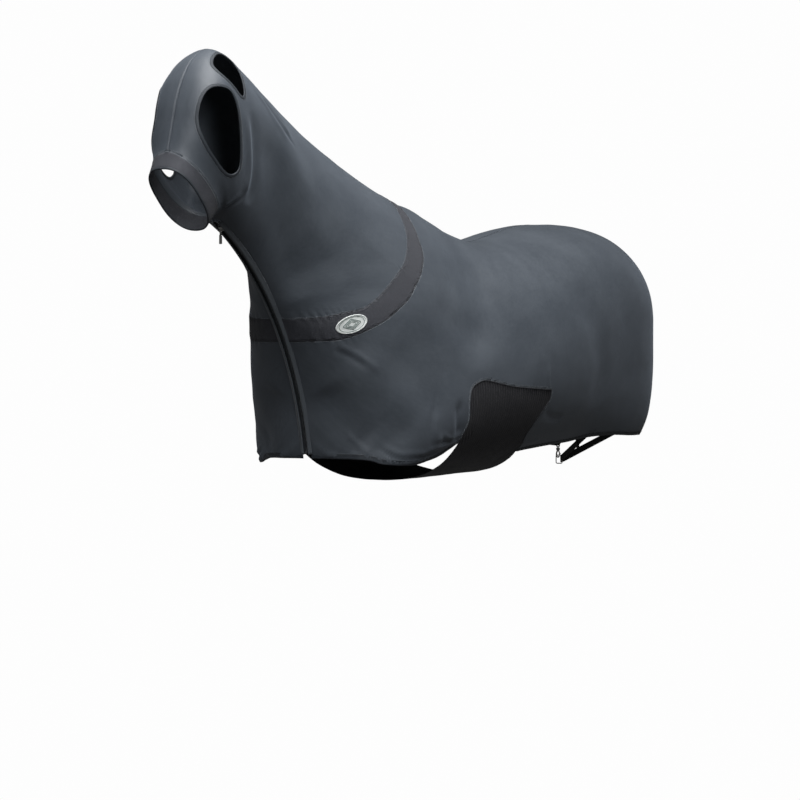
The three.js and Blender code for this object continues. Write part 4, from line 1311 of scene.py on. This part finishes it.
for name, runs in (("face_stitching", [(r, 0.0034, 0.0003) for r in rails["face", LEFT]]),
                   ("spine_stitching", [(r, 0.0034, 0.0003) for r in rails["spine", LEFT]])):
    for side in (LEFT, RIGHT):
        piece = stitches(f"{name}_{side}", side, runs, "stretch_cloth", "dark_thread")
        total += len(piece.data.polygons) // 20
print(total, "stitches")

# %% [markdown]
# ## The front zip
# The zip runs on one arc from the throat to the chest hem. Two woven tapes carry moulded teeth that lock
# on the centre line, and a soft piped lip of the suit's own cloth stands up on each side, which is the
# pale ridge that shows down the chest; the lip's cloth is painted lighter than the suit, a painted sheen.
# The tapes and lips are swept sections. The teeth follow the arc at a fixed pitch, so Geometry Nodes
# place them, with the two rows half a pitch apart.

# %% Arc of the zip
ZIP_TOP = 61.3
ZIP_BOTTOM = 9.05
TOOTH_PITCH = 0.0032
TOOTH_LENGTH = 0.0017
TOOTH_REACH = 0.0031
TOOTH_HEIGHT = 0.0030
TOOTH_FACES = 24
SLIDER_ANGLE = 59.4


def zip_point(degrees, radius, y=0.0):
    a = math.radians(degrees)
    return np.array([ZIP_CENTRE[0] + radius * math.cos(a), y, ZIP_CENTRE[1] + radius * math.sin(a)])


def zip_rail(radius, y, top=ZIP_TOP, bottom=ZIP_BOTTOM, spacing=0.006):
    """A rail down the arc; its across direction points away from the zip's centre line."""
    count = int(math.radians(top - bottom) * radius / spacing)
    angles = np.linspace(top, bottom, count)
    points = np.array([zip_point(a, radius, y) for a in angles])
    normals = np.array([-zip_point(a, 1.0) + zip_point(a, 0.0) for a in angles])
    return Rail(points, normals, spacing, soften=0)


# %% Lips and tapes
LIP_TIP = 0.0064
LIP_RISE = 0.0064
LIP_FOOT = 0.0176


def cloth_beside_zip():
    """Angle and radius of the cloth's edge beside the zip, from the throat down."""
    found = [panels[name, LEFT].co[line] for name in ("hood_neck", "shoulder_band", "body_panel")
             for line, _ in edge_lines(panels[name, LEFT], "zip", reach=0.003)]
    found = np.vstack(found)
    found = found[np.abs(found[:, 1]) < 0.02] - zip_point(0, 0)
    angle = np.degrees(np.arctan2(found[:, 2], found[:, 0]))
    order = np.argsort(angle)
    return angle[order], np.hypot(found[:, 0], found[:, 2])[order]


def lip_sections(rail):
    """The lip's outline at each point: its foot follows the cloth, its rolled edge keeps to the arc."""
    place = rail.points - zip_point(0, 0)
    sink = ZIP_RADIUS - np.interp(np.degrees(np.arctan2(place[:, 2], place[:, 0])), *cloth_beside_zip())
    outlines = []
    for foot in sink:
        outlines.append([
            (LIP_FOOT, foot + 0.0005), (0.0158, foot + 0.0012), (0.0136, 0.0036), (0.0112, LIP_RISE - 0.0006),
            (0.0092, LIP_RISE), (0.0076, LIP_RISE - 0.0004), (LIP_TIP + 0.0003, LIP_RISE - 0.0012),
            (LIP_TIP, LIP_RISE - 0.0020), (LIP_TIP + 0.0005, LIP_RISE - 0.0028), (0.0082, LIP_RISE - 0.0030),
            (0.0104, 0.0022), (0.0130, foot - 0.0004), (0.0150, foot - 0.0014), (LIP_FOOT, foot - 0.0014)])
    return np.array(outlines)


for side in (LEFT, RIGHT):
    middle = zip_rail(ZIP_RADIUS, 0.0)
    lip = sweep(Parts(), middle, lip_sections(middle)).build(f"zip_lip_{side}_piped", side)
    # the lip's lighter colour is painted sheen
    settle(lip, "root", "stretch_cloth", f"zip_lip_{side}", finish="lip_cloth_painted_sheen")
    tape_section = rounded_section(0.0026, 0.0146, -0.0026, -0.0014, radius=0.4)
    tape = sweep(Parts(), middle, tape_section).build(f"zip_tape_{side}_woven", side)
    settle(tape, "root", "zip_tape", f"zip_tape_{side}")
    stitches(f"zip_stitching_{side}", side, [(middle, 0.0098, LIP_RISE - 0.0001)], "stretch_cloth",
             "dark_thread")

# %% Teeth
def make_teeth_tree():
    tree = bpy.data.node_groups.new("teeth", "GeometryNodeTree")
    tree_inputs(tree,
                [("Geometry", "Geometry", None), ("Pitch", "Float", 0.0032), ("Length", "Float", 0.0015),
                       ("Reach", "Float", 0.0040), ("Height", "Float", 0.0030), ("Finish", "Material", None)])
    given = tree.nodes.new("NodeGroupInput").outputs
    size = add_node(tree, "ShaderNodeCombineXYZ", X=given["Length"], Y=given["Reach"], Z=given["Height"])
    block = add_node(tree, "GeometryNodeMeshCube", Size=size.outputs[0])
    rounded = add_node(tree, "GeometryNodeSubdivisionSurface", Mesh=block.outputs["Mesh"], Level=1)
    rounded.inputs["Edge Crease"].default_value = 0.55
    along_a_line(tree, given, rounded.outputs["Mesh"])
    return tree


TEETH = make_teeth_tree()
for side, start in ((LEFT, 0.0), (RIGHT, 0.5)):
    away = TOOTH_REACH / 2 - 0.0002
    drop = math.degrees(start * TOOTH_PITCH / ZIP_RADIUS)
    row = zip_rail(ZIP_RADIUS + 0.0006, -away, ZIP_TOP - 0.3 - drop, ZIP_BOTTOM + 0.75 - drop,
                   TOOTH_PITCH / 2)
    points = row.points if side == LEFT else mirror_points(row.points)
    teeth = grown(f"zip_teeth_{side}_row", line_object([(points, row.normals, False)]), TEETH,
                  Pitch=TOOTH_PITCH, Length=TOOTH_LENGTH, Reach=TOOTH_REACH + 0.0009, Height=TOOTH_HEIGHT,
                  Finish=MATERIALS["zip_teeth"])
    settle(teeth, "root", "zip_teeth", f"zip_teeth_{side}")
    print(side, len(teeth.data.polygons) // TOOTH_FACES, "teeth")

# %% [markdown]
# Hard parts are few and small, so each is drawn in its own flat frame and then placed: an outline raised to
# a thickness with a bevelled edge, a wire bent along a line, or a profile turned on an axis. The slider's
# frame has its first direction up the zip, its second across it and its third out of the cloth.

# %% Shapes for hard parts
class Frame:
    """A place in space: a corner and three directions."""

    def __init__(self, origin, x, y, z):
        self.origin, self.axes = np.array(origin, float), np.array([x, y, z], float)

    def at(self, points):
        return self.origin + np.asarray(points, float) @ self.axes


def plate(parts, frame, outline, low, high, edge=0.0003):
    """An outline raised from low to high, with its edges eased by a narrow slope."""
    outline = np.array(outline, float)
    n = len(outline)
    centre = outline.mean(0)
    inset = outline + unit(centre - outline) * edge
    rings = [(inset, low), (outline, low + edge), (outline, high - edge), (inset, high)]
    points = np.vstack([np.column_stack([ring, np.full(n, z)]) for ring, z in rings])
    faces = [[r * n + k, r * n + (k + 1) % n, (r + 1) * n + (k + 1) % n, (r + 1) * n + k]
             for r in range(3) for k in range(n)]
    faces += [list(range(n))[::-1], [3 * n + k for k in range(n)]]
    return parts.add(frame.at(points), faces, points[:, :2])


def rounded_outline(corners, radius, steps=4):
    """A polygon with rounded corners, counter-clockwise."""
    corners = np.array(corners, float)
    points = []
    for k, corner in enumerate(corners):
        to_last, to_next = unit(corners[k - 1] - corner), unit(corners[(k + 1) % len(corners)] - corner)
        opening = math.acos(np.clip(to_last @ to_next, -1, 1))
        reach = min(radius / math.tan(opening / 2), 0.45 * np.linalg.norm(corners[k - 1] - corner),
                    0.45 * np.linalg.norm(corners[(k + 1) % len(corners)] - corner))
        a, b = corner + to_last * reach, corner + to_next * reach
        for t in np.linspace(0, 1, steps + 1):
            points.append((1 - t) ** 2 * a + 2 * t * (1 - t) * corner + t**2 * b)
    return np.array(points)


def turned(parts, frame, profile, sides=28):
    """A profile of (radius, height) pairs turned about the frame's third direction, closed top and bottom."""
    count = len(profile)
    points = [(r * math.cos(2 * math.pi * k / sides), r * math.sin(2 * math.pi * k / sides), z)
              for r, z in profile for k in range(sides)]
    faces = [[i * sides + k, i * sides + (k + 1) % sides, (i + 1) * sides + (k + 1) % sides,
              (i + 1) * sides + k]
             for i in range(count - 1) for k in range(sides)]
    faces += [list(range(sides))[::-1], [(count - 1) * sides + k for k in range(sides)]]
    uvs = [(k / sides * 0.02, z) for r, z in profile for k in range(sides)]
    return parts.add(frame.at(points), faces, uvs)


def bent_wire(parts, frame, line, section, closed=False, spacing=0.0006, taper=None):
    """A section carried along a line in the frame's first two directions."""
    points = frame.at(np.column_stack([line, np.zeros(len(line))]))
    rail = Rail(points, np.tile(frame.axes[2], (len(points), 1)), spacing, closed, soften=0)
    return sweep(parts, rail, section, None if taper is None else taper(np.linspace(0, 1, len(rail.points))))


def arc_line(radius, start, end, centre=(0, 0), steps=40):
    angles = np.radians(np.linspace(start, end, steps))
    return np.column_stack([centre[0] + radius * np.cos(angles), centre[1] + radius * np.sin(angles)])


print("plate, wire and turned profile ready")

# %% Slider and pull
SLIDER_HALF = 0.0056
SLIDER_IN = ZIP_RADIUS - 0.8383
SLIDER_OUT = ZIP_RADIUS - 0.8344
PIN_OUT = ZIP_RADIUS - 0.8308
PIN_RADIUS = 0.0009


def on_arc(degrees):
    """The frame of the zip at an angle: up the zip, across it, out of the cloth."""
    a = math.radians(degrees)
    return Frame(zip_point(degrees, ZIP_RADIUS), (-math.sin(a), 0, math.cos(a)), (0, 1, 0),
                 (-math.cos(a), 0, -math.sin(a)))


spot = on_arc(SLIDER_ANGLE)
crown = rounded_outline([(0.008, -SLIDER_HALF), (0.008, SLIDER_HALF), (0.001, SLIDER_HALF),
                         (-0.008, 0.68 * SLIDER_HALF), (-0.008, -0.68 * SLIDER_HALF),
                         (0.001, -SLIDER_HALF)], 0.0024)
slider = Parts()
plate(slider, spot, crown, SLIDER_IN, SLIDER_OUT - 0.0009, 0.0005)
plate(slider, spot, crown * 0.72, SLIDER_OUT - 0.0014, SLIDER_OUT, 0.0006)
for y in (-0.0041, 0.0041):
    post = rounded_outline([(-0.0015, y - 0.0007), (0.0015, y - 0.0007), (0.0015, y + 0.0007),
                            (-0.0015, y + 0.0007)],
                           0.0004)
    plate(slider, spot, post, SLIDER_OUT - 0.0010, PIN_OUT + 0.0007, 0.0003)
pin = Frame(spot.at((0, 0, PIN_OUT)), spot.axes[2], spot.axes[0], spot.axes[1])
turned(slider, pin, [(0.0004, -0.0048), (PIN_RADIUS, -0.0044), (PIN_RADIUS, 0.0044), (0.0004, 0.0048)], 20)
settle(slider.build("zip_slider_crown"), "zip_slider", "nickel", "zip_slider")

hang = Frame(pin.origin, (0, 1, 0), (0, 0, 1), (1, 0, 0))
pull = Parts()
eye = Frame(pin.origin, (1, 0, 0), (0, 0, 1), (0, -1, 0))
bent_wire(pull, eye, arc_line(0.00183, 0, 350, steps=24)[:-1],
          rounded_section(-0.00055, 0.00055, -0.0029, 0.0029, 0.35),
          closed=True)
tab = rounded_outline([(-0.0029, -0.0019), (-0.0027, -0.0085), (-0.0043, -0.0115), (-0.0043, -0.034),
                       (0.0043, -0.034), (0.0043, -0.0115), (0.0027, -0.0085), (0.0029, -0.0019)], 0.0022)
plate(pull, hang, tab, -0.0008, 0.0008, 0.0003)
for step in range(5):
    z = -0.0165 - 0.0029 * step
    bar = rounded_outline([(-0.0031, z - 0.0005), (0.0031, z - 0.0005), (0.0031, z + 0.0005),
                           (-0.0031, z + 0.0005)],
                          0.0004)
    for low, high in ((-0.00125, -0.0006), (0.0006, 0.00125)):
        plate(pull, hang, bar, low, high, 0.0002)
settle(pull.build("zip_pull_tab"), "zip_pull", "nickel", "zip_pull")

for name, angle, half in (("zip_top_stop", SLIDER_ANGLE + 0.85, 0.0030),
                          ("zip_bottom_stop", ZIP_BOTTOM + 0.3, 0.0030)):
    place = on_arc(angle + 0.15)
    stop = rounded_outline([(-0.0021, -half), (0.0021, -half), (0.0021, half), (-0.0021, half)], 0.0009)
    made = plate(Parts(), place, stop, 0.0017, 0.0052, 0.0006)
    settle(made.build(f"{name}_crimp"), "root", "zip_teeth", name)
print("slider at", pin.origin.round(3))

# %% [markdown]
# ## The badge
# An oval badge is sewn over the band. It is a soft moulded patch with a raised rim and a plain raised
# device, and carries no lettering. Rings of points are dropped onto the band along the badge's own
# direction, so that the patch bends with the cloth under it.

# %% Badge
BADGE_LONG, BADGE_TALL = 0.095, 0.046
badge_from, badge_to = np.array([-0.472, -0.138, -0.364]), np.array([-0.402, -0.187, -0.338])
badge_x = unit(badge_to - badge_from)
badge_y = unit(np.cross((-0.35, -0.9, -0.1), badge_x))
badge_out = np.cross(badge_x, badge_y)
badge_frame = Frame((badge_from + badge_to) / 2, badge_x, badge_y, badge_out)
band_tree = BVHTree.FromPolygons([tuple(p) for p in panels["shoulder_band", LEFT].co],
                                 panels["shoulder_band", LEFT].faces)


def on_badge(flat, lift):
    """Points on the band under flat badge positions, lifted from the cloth."""
    found = []
    for (x, y), height in zip(flat, np.broadcast_to(lift, len(flat))):
        above = Vector(badge_frame.at((x, y, 0.06)))
        place, normal, _, _ = band_tree.ray_cast(above, Vector(-badge_out))
        if place is None:
            place, normal, _, _ = band_tree.find_nearest(Vector(badge_frame.at((x, y, 0))))
        found.append(np.array(place) + badge_out * height)
    return np.array(found)


def oval(share, count=72):
    angles = np.linspace(0, 2 * math.pi, count, endpoint=False)
    return np.column_stack([share * BADGE_LONG / 2 * np.cos(angles), share * BADGE_TALL / 2 * np.sin(angles)])


def badge_rings(levels, count=72):
    """Rings from the outside in, closed at the centre, over a flat back."""
    shape = Parts()
    rings = [on_badge(oval(share, count), lift) for share, lift in levels]
    points = np.vstack(rings + [on_badge([(0, 0)], levels[-1][1])])
    centre = len(points) - 1
    n = len(levels)
    faces = [[r * count + k, r * count + (k + 1) % count, (r + 1) * count + (k + 1) % count,
              (r + 1) * count + k]
             for r in range(n - 1) for k in range(count)]
    faces += [[(n - 1) * count + k, (n - 1) * count + (k + 1) % count, centre] for k in range(count)]
    back = len(points)
    points = np.vstack([points, on_badge([(0, 0)], levels[0][1])])
    faces += [[(k + 1) % count, k, back] for k in range(count)]
    flat = np.vstack([oval(share, count) for share, _ in levels] + [[(0, 0)], [(0, 0)]])
    return shape.add(points, faces, flat)


rim = [(1.0, 0.0010), (1.0, 0.0018), (0.985, 0.0025), (0.955, 0.0028), (0.925, 0.0026), (0.90, 0.0019),
       (0.89, 0.0017), (0.60, 0.0019), (0.30, 0.0020)]
badge_base = badge_rings(rim)
settle(badge_base.build("badge_patch"), "root", "badge", "badge", finish="badge")


def badge_ribbon(shape, line, width, low, high, closed=False):
    """A raised flat line on the badge's face."""
    line = np.array(line, float)
    flat_rail = Rail(np.column_stack([line, np.zeros(len(line))]), np.tile((0, 0, 1.0), (len(line), 1)),
                     0.0012,
                     closed, soften=1)
    seats = on_badge(flat_rail.points[:, :2], (low + high) / 2)
    rail = Rail(seats, np.tile(badge_out, (len(seats), 1)), 0.0012, closed, soften=1)
    half = (high - low) / 2
    return sweep(shape, rail, rounded_section(-width / 2, width / 2, -half, half, 0.45, 2))


device = Parts()
badge_ribbon(device, oval(0.80), 0.0012, 0.0014, 0.0025, closed=True)
for reach in (0.30, 0.46, 0.62):
    lozenge = rounded_outline([(-reach * 0.045, 0), (0, -reach * 0.0235), (reach * 0.045, 0),
                               (0, reach * 0.0235)],
                              0.0012)
    badge_ribbon(device, lozenge, 0.0019, 0.0014, 0.0026, closed=True)
settle(device.build("badge_device"), "root", "badge", finish="badge_device")
rim_line = Rail(on_badge(oval(0.925), 0.0027), np.tile(badge_out, (72, 1)), 0.003, closed=True, soften=0)
stitches("badge_stitching", LEFT, [(rim_line, 0, 0)], "badge", "dark_thread", pitch=0.0036, length=0.0024,
         width=0.0007)
print("badge at", badge_frame.origin.round(3), "facing", badge_out.round(2))

# %% [markdown]
# ## Leg straps
# Two black elastic straps pass between the hind legs. Each is sewn to a patch inside the hem in front and
# behind, runs on edge to the middle line, and the two are linked there by a swivel snap and a ring. A
# strap is a woven ribbon: a flat section with soft edges, swept along its path with its width upright.

# %% Patches and straps
LINK_X = 1.045
STRAP_WIDTH, STRAP_THICK = 0.020, 0.0020
APEX = {LEFT: (-0.008, -0.749), RIGHT: (0.003, -0.697)}
HOLD_Z = -0.664
STRAP_INSET = 0.016
PATCH_HALF, PATCH_LOW, PATCH_HIGH = 0.017, -0.002, 0.024
PATCH_OUT = CLOTH_WALL + 0.0010
PATCH_WALL = 0.0026
trunk_tree = BVHTree.FromPolygons([tuple(p) for p in panels["body_panel", LEFT].co],
                                  panels["body_panel", LEFT].faces)


holds = {}
for name, u in (("front", 21.3), ("rear", 26.2)):
    column = surface(np.column_stack([np.full(400, u), np.linspace(0.5, 1, 400)]))
    holds[name] = column[np.argmin(np.abs(column[:, 2] - HOLD_Z))]


def side_wall(name, along, up):
    """The place and outward normal of the cloth at a distance along the hem and up from a hold."""
    seat, normal, _, _ = trunk_tree.find_nearest(Vector(holds[name]))
    level = unit(np.array([-normal[1], normal[0], 0.0]))
    place, normal, _, _ = trunk_tree.find_nearest(Vector(np.array(seat) + level * along + (0, 0, up)))
    return np.array(place), np.array(normal)


patch_lines = []
for name in holds:
    xs = np.linspace(-PATCH_HALF, PATCH_HALF, 13)
    zs = np.linspace(PATCH_LOW, PATCH_HIGH, 10)
    seats = [side_wall(name, x, z) for z in zs for x in xs]
    normals = np.array([n for _, n in seats])
    points = np.array([p for p, _ in seats]) - normals * PATCH_OUT
    faces = [[j * 13 + i, j * 13 + i + 1, (j + 1) * 13 + i + 1, (j + 1) * 13 + i]
             for j in range(9) for i in range(12)]
    uvs = [(x, z) for z in zs for x in xs]
    for side in (LEFT, RIGHT):
        patch = Parts().add(points, faces, uvs).build(f"strap_tab_{name}_{side}_patch", side)
        thicken(patch, PATCH_WALL)
        settle(patch, "root", "webbing", f"strap_tab_{name}_{side}")
    inner = [(x, z) for x, z in rounded_outline(
        [(xs[1], zs[1]), (xs[-2], zs[1]), (xs[-2], zs[-2]), (xs[1], zs[-2])], 0.003)]
    crossing = [[(xs[1], zs[1]), (xs[-2], zs[-2])], [(xs[-2], zs[1]), (xs[1], zs[-2])]]
    for line, closed in [(inner, True)] + [(np.linspace(a, b, 9), False) for a, b in crossing]:
        pairs = [side_wall(name, x, z) for x, z in line]
        patch_lines.append(Rail([p for p, _ in pairs], [n for _, n in pairs], 0.003, closed, soften=0))
for side in (LEFT, RIGHT):
    stitches(f"strap_box_stitching_{side}", side, [(r, 0, 0.0003) for r in patch_lines], "webbing",
             "dark_thread",
             pitch=0.0034, length=0.0026, width=0.0008)
    stitches(f"strap_inner_stitching_{side}", side,
             [(r, 0, -PATCH_OUT - PATCH_WALL - 0.0002) for r in patch_lines],
             "webbing", "dark_thread", pitch=0.0034, length=0.0026, width=0.0008)


def strap_rail(side):
    """The path of one strap on the left half; the right half is turned over afterwards."""
    apex_y, apex_z = APEX[side]
    if side == RIGHT:
        apex_y = -apex_y
    path = []
    for name, step in (("front", 1), ("rear", -1)):
        hold = holds[name]
        start = np.array([hold[0] + step * (0.008 if name == "front" else 0.010), hold[1] + STRAP_INSET,
                          HOLD_Z])
        place, normal = side_wall(name, -step * 0.004, 0.010)
        sewn = place - normal * (PATCH_OUT + PATCH_WALL + STRAP_THICK / 2 + 0.0002)
        far, far_normal = side_wall(name, -step * 0.014, 0.010)
        tail = far - far_normal * (PATCH_OUT + PATCH_WALL + STRAP_THICK / 2 + 0.0002)
        bend = np.array([LINK_X - step * 0.007, apex_y, apex_z])
        inside = start + (bend - start) * 0.06
        leg = [tail, sewn, (sewn + start) / 2 + (0, 0.002, 0.002), start, inside, bend]
        path += leg if name == "front" else leg[::-1]
    path = np.array(path)
    fine = np.vstack([np.linspace(a, b, max(int(np.linalg.norm(b - a) / 0.002), 2), endpoint=False)
                      for a, b in zip(path, path[1:])] + [path[-1:]])
    along = np.gradient(fine, axis=0)
    beside = unit(np.column_stack([-along[:, 1], along[:, 0], np.zeros(len(fine))]))
    return Rail(fine, beside, 0.003, soften=6)


straps = {}
strap_section = rounded_section(-STRAP_WIDTH / 2, STRAP_WIDTH / 2, -STRAP_THICK / 2, STRAP_THICK / 2, 0.35, 3)
for side in (LEFT, RIGHT):
    straps[side] = strap_rail(side)
    ribbon = sweep(Parts(), straps[side], strap_section).build(f"leg_strap_{side}_ribbon", side)
    settle(ribbon, "root", "webbing", f"leg_strap_{side}")
    print(side, "strap", round(straps[side].length, 3), "m")

# %% [markdown]
# ## Slides, snap and ring
# Each strap has a moulded slide that sets its length. On the right strap a brass-coloured frame holds a
# swivelling snap hook with a sprung gate, and the hook closes through a plain wire ring on the left strap.
# Wire parts are a round section bent along a line, so their corners are round as drawn wire is.

# %% Strap slides
SLIDE_WIDE = 0.014
SLIDE_FROM_END = 0.110


def rounded_box(half_a, half_b, radius, steps=4):
    return rounded_outline([(-half_a, -half_b), (half_a, -half_b), (half_a, half_b), (-half_a, half_b)],
                           radius, steps)


for side in (LEFT, RIGHT):
    apex_y, apex_z = APEX[side]
    turn = 1 if side == LEFT else -1
    start = np.array([holds["front"][0] + 0.008, turn * (holds["front"][1] + STRAP_INSET), HOLD_Z])
    way = unit(np.array([LINK_X - 0.007, apex_y, apex_z]) - start)
    level = unit(np.array([-way[1], way[0], 0.0]))
    frame_here = Frame(start + way * SLIDE_FROM_END, level, np.cross(way, level), way)
    slide = Parts()
    ring = Rail(frame_here.at(np.column_stack([rounded_box(0.0026, 0.0135, 0.0016), np.zeros(20)])),
                np.tile(way, (20, 1)), 0.0007, closed=True, soften=0)
    sweep(slide, ring, rounded_section(-0.0008, 0.0008, -SLIDE_WIDE / 2, SLIDE_WIDE / 2, 0.45, 3))
    for shift in (-0.0056, 0.0, 0.0056):
        rib = Rail(frame_here.at(np.column_stack([rounded_box(0.0031, 0.0140, 0.0018), np.full(20, shift)])),
                   np.tile(way, (20, 1)), 0.0007, closed=True, soften=0)
        sweep(slide, rib, rounded_section(-0.0006, 0.0006, -0.0013, 0.0013, 0.45, 3))
    settle(slide.build(f"strap_slide_{side}_moulding"), f"strap_slide_{side}", "strap_slide",
           f"strap_slide_{side}")

# %% Swivel frame, hook and gate
HOOK_Z = -0.733
HOOK_RADIUS = 0.010
POST_AT = (LINK_X, 0.003)


def upright(y, z, x=LINK_X):
    """A frame across the animal: first direction along y, second up, third forward."""
    return Frame((x, y, z), (0, 1, 0), (0, 0, 1), (1, 0, 0))


def lengthways(y, z, x=LINK_X):
    """A frame along the animal: first direction along x, second up, third towards the left."""
    return Frame((x, y, z), (1, 0, 0), (0, 0, 1), (0, -1, 0))


frame_parts = Parts()
bent_wire(frame_parts, upright(0.003, -0.697), rounded_box(0.0047, 0.0130, 0.0030, 6),
          rounded_section(-0.0015, 0.0015, -0.0020, 0.0020, 0.42, 4), closed=True)
post_axis = Frame((*POST_AT, 0), (1, 0, 0), (0, 1, 0), (0, 0, 1))
turned(frame_parts, post_axis, [(0.0010, -0.7190), (0.0031, -0.7190), (0.0034, -0.7187), (0.0034, -0.7173),
                                (0.0031, -0.7170), (0.0020, -0.7168), (0.0020, -0.7105)])
settle(frame_parts.build("snap_swivel_loop"), "root", "swivel_brass", "snap_swivel_frame")

hook = Parts()
hook_place = lengthways(POST_AT[1], HOOK_Z)


def hook_taper(share):
    return np.interp(share, [0, 0.86, 0.97, 1], [1.0, 0.95, 0.72, 0.40])


bent_wire(hook, hook_place, arc_line(HOOK_RADIUS, 62, 334, steps=80),
          rounded_section(-0.0020, 0.0020, -0.0024, 0.0024, 0.46, 4), taper=hook_taper)
turned(hook, post_axis, [(0.0026, -0.7130), (0.0052, -0.7130), (0.0058, -0.7134), (0.0060, -0.7142),
                         (0.0060, -0.7168), (0.0055, -0.7176), (0.0055, -0.7186), (0.0059, -0.7194),
                         (0.0056, -0.7212), (0.0046, -0.7222)][::-1])
settle(hook.build("snap_hook_body"), "snap_hook", "nickel", "snap_hook")

gate = Parts()
bent_wire(gate, hook_place, arc_line(HOOK_RADIUS, -24, 52, steps=30),
          rounded_section(-0.0013, 0.0013, -0.0021, 0.0021, 0.42, 3))
knob = Frame(hook_place.at((0.0101, 0.0010, 0)), (0, 1, 0), (0, 0, 1), (1, 0, 0))
turned(gate, knob, [(0.0004, 0.0008), (0.0012, 0.0010), (0.0014, 0.0030), (0.0018, 0.0036), (0.0018, 0.0046),
                    (0.0012, 0.0052), (0.0004, 0.0053)], 16)
settle(gate.build("snap_gate_lever"), "snap_gate", "nickel", "snap_gate")

# %% Ring on the left strap
link = Parts()
bent_wire(link, upright(-0.0015, -0.74925, LINK_X - 0.0015), rounded_box(0.0105, 0.01275, 0.0040, 8),
          round_section(0.0015, 12), closed=True)
settle(link.build("link_ring_wire"), "link_ring", "nickel", "link_ring")
print("snap and ring at", [round(v, 3) for v in hook_place.origin])

# %% [markdown]
# ## Cut sizes
# Each panel is a flat pattern piece that is stretched a little over the animal, so it was cut smaller than
# it is now. The stretch itself is an estimate.


# %% [markdown]
# ## Floor and light
# A pale seamless studio: a broad soft box above, so that the top of every muscle is bright and the
# underside falls away to dark, and a weak fill from the front. Dark glossy cloth shows whatever surrounds
# it, so the bright surround is shown only to the camera, and the cloth itself sees a much dimmer one.

# %% Light
CAMERA_SEES = 0.985
CLOTH_SEES = 0.09
CLOTH_SEES_FLOOR = 0.10
FLOOR_REACH = 14


def soft_light(name, place, aim, size, watts, colour=(1, 1, 1)):
    lamp = bpy.data.lights.new(name, "AREA")
    lamp.shape = "RECTANGLE"
    lamp.size, lamp.size_y = size
    lamp.energy = watts
    lamp.color = colour
    made = bpy.data.objects.new(name, lamp)
    made.location = place
    made.rotation_mode = "QUATERNION"
    made.rotation_quaternion = (Vector(aim) - Vector(place)).to_track_quat("-Z", "Y")
    bpy.context.scene.collection.objects.link(made)
    return made


def shown_to_camera(tree, near):
    """An emission that is near white to the camera and dim to the object."""
    light = tree.nodes.new("ShaderNodeLightPath")
    strength = tree.nodes.new("ShaderNodeMapRange")
    tree.links.new(light.outputs["Is Camera Ray"], strength.inputs["Value"])
    strength.inputs["To Min"].default_value = near
    strength.inputs["To Max"].default_value = CAMERA_SEES
    return strength.outputs[0]


soft_light("top_box", (-0.8, -1.0, 3.1), (0.1, 0.0, -0.2), (3.0, 2.4), 225)
soft_light("key", (-3.0, -3.0, 3.1), (-0.4, -0.1, 0.2), (1.6, 1.2), 95, (0.98, 0.99, 1.0))
soft_light("front_fill", (-4.2, -1.2, 2.6), (-0.9, 0.0, 0.2), (1.6, 1.6), 60, (0.93, 0.96, 1.0))
world = bpy.data.worlds.new("studio")
world.use_nodes = True
bpy.context.scene.world = world
surround = world.node_tree.nodes["Background"]
surround.inputs["Color"].default_value = (1, 1, 1, 1)
world.node_tree.links.new(shown_to_camera(world.node_tree, CLOTH_SEES), surround.inputs["Strength"])

floor_mesh = bpy.data.meshes.new("floor")
floor_mesh.from_pydata([(x * FLOOR_REACH, y * FLOOR_REACH, GROUND)
                        for x, y in ((-1, -1), (1, -1), (1, 1), (-1, 1))], [], [(0, 1, 2, 3)])
floor = bpy.data.objects.new("floor", floor_mesh)
bpy.context.scene.collection.objects.link(floor)
floor_finish = bpy.data.materials.new("floor")
floor_finish.use_nodes = True
floor_tree = floor_finish.node_tree
floor_tree.nodes.clear()
glow = floor_tree.nodes.new("ShaderNodeEmission")
floor_tree.links.new(shown_to_camera(floor_tree, CLOTH_SEES_FLOOR), glow.inputs["Strength"])
floor_out = floor_tree.nodes.new("ShaderNodeOutputMaterial")
floor_tree.links.new(glow.outputs["Emission"], floor_out.inputs["Surface"])
floor.data.materials.append(floor_finish)
floor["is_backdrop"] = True
bpy.context.scene.view_settings.view_transform = "Standard"

# %% Size
low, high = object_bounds()
print("visual box", [round(x, 3) for x in high - low])
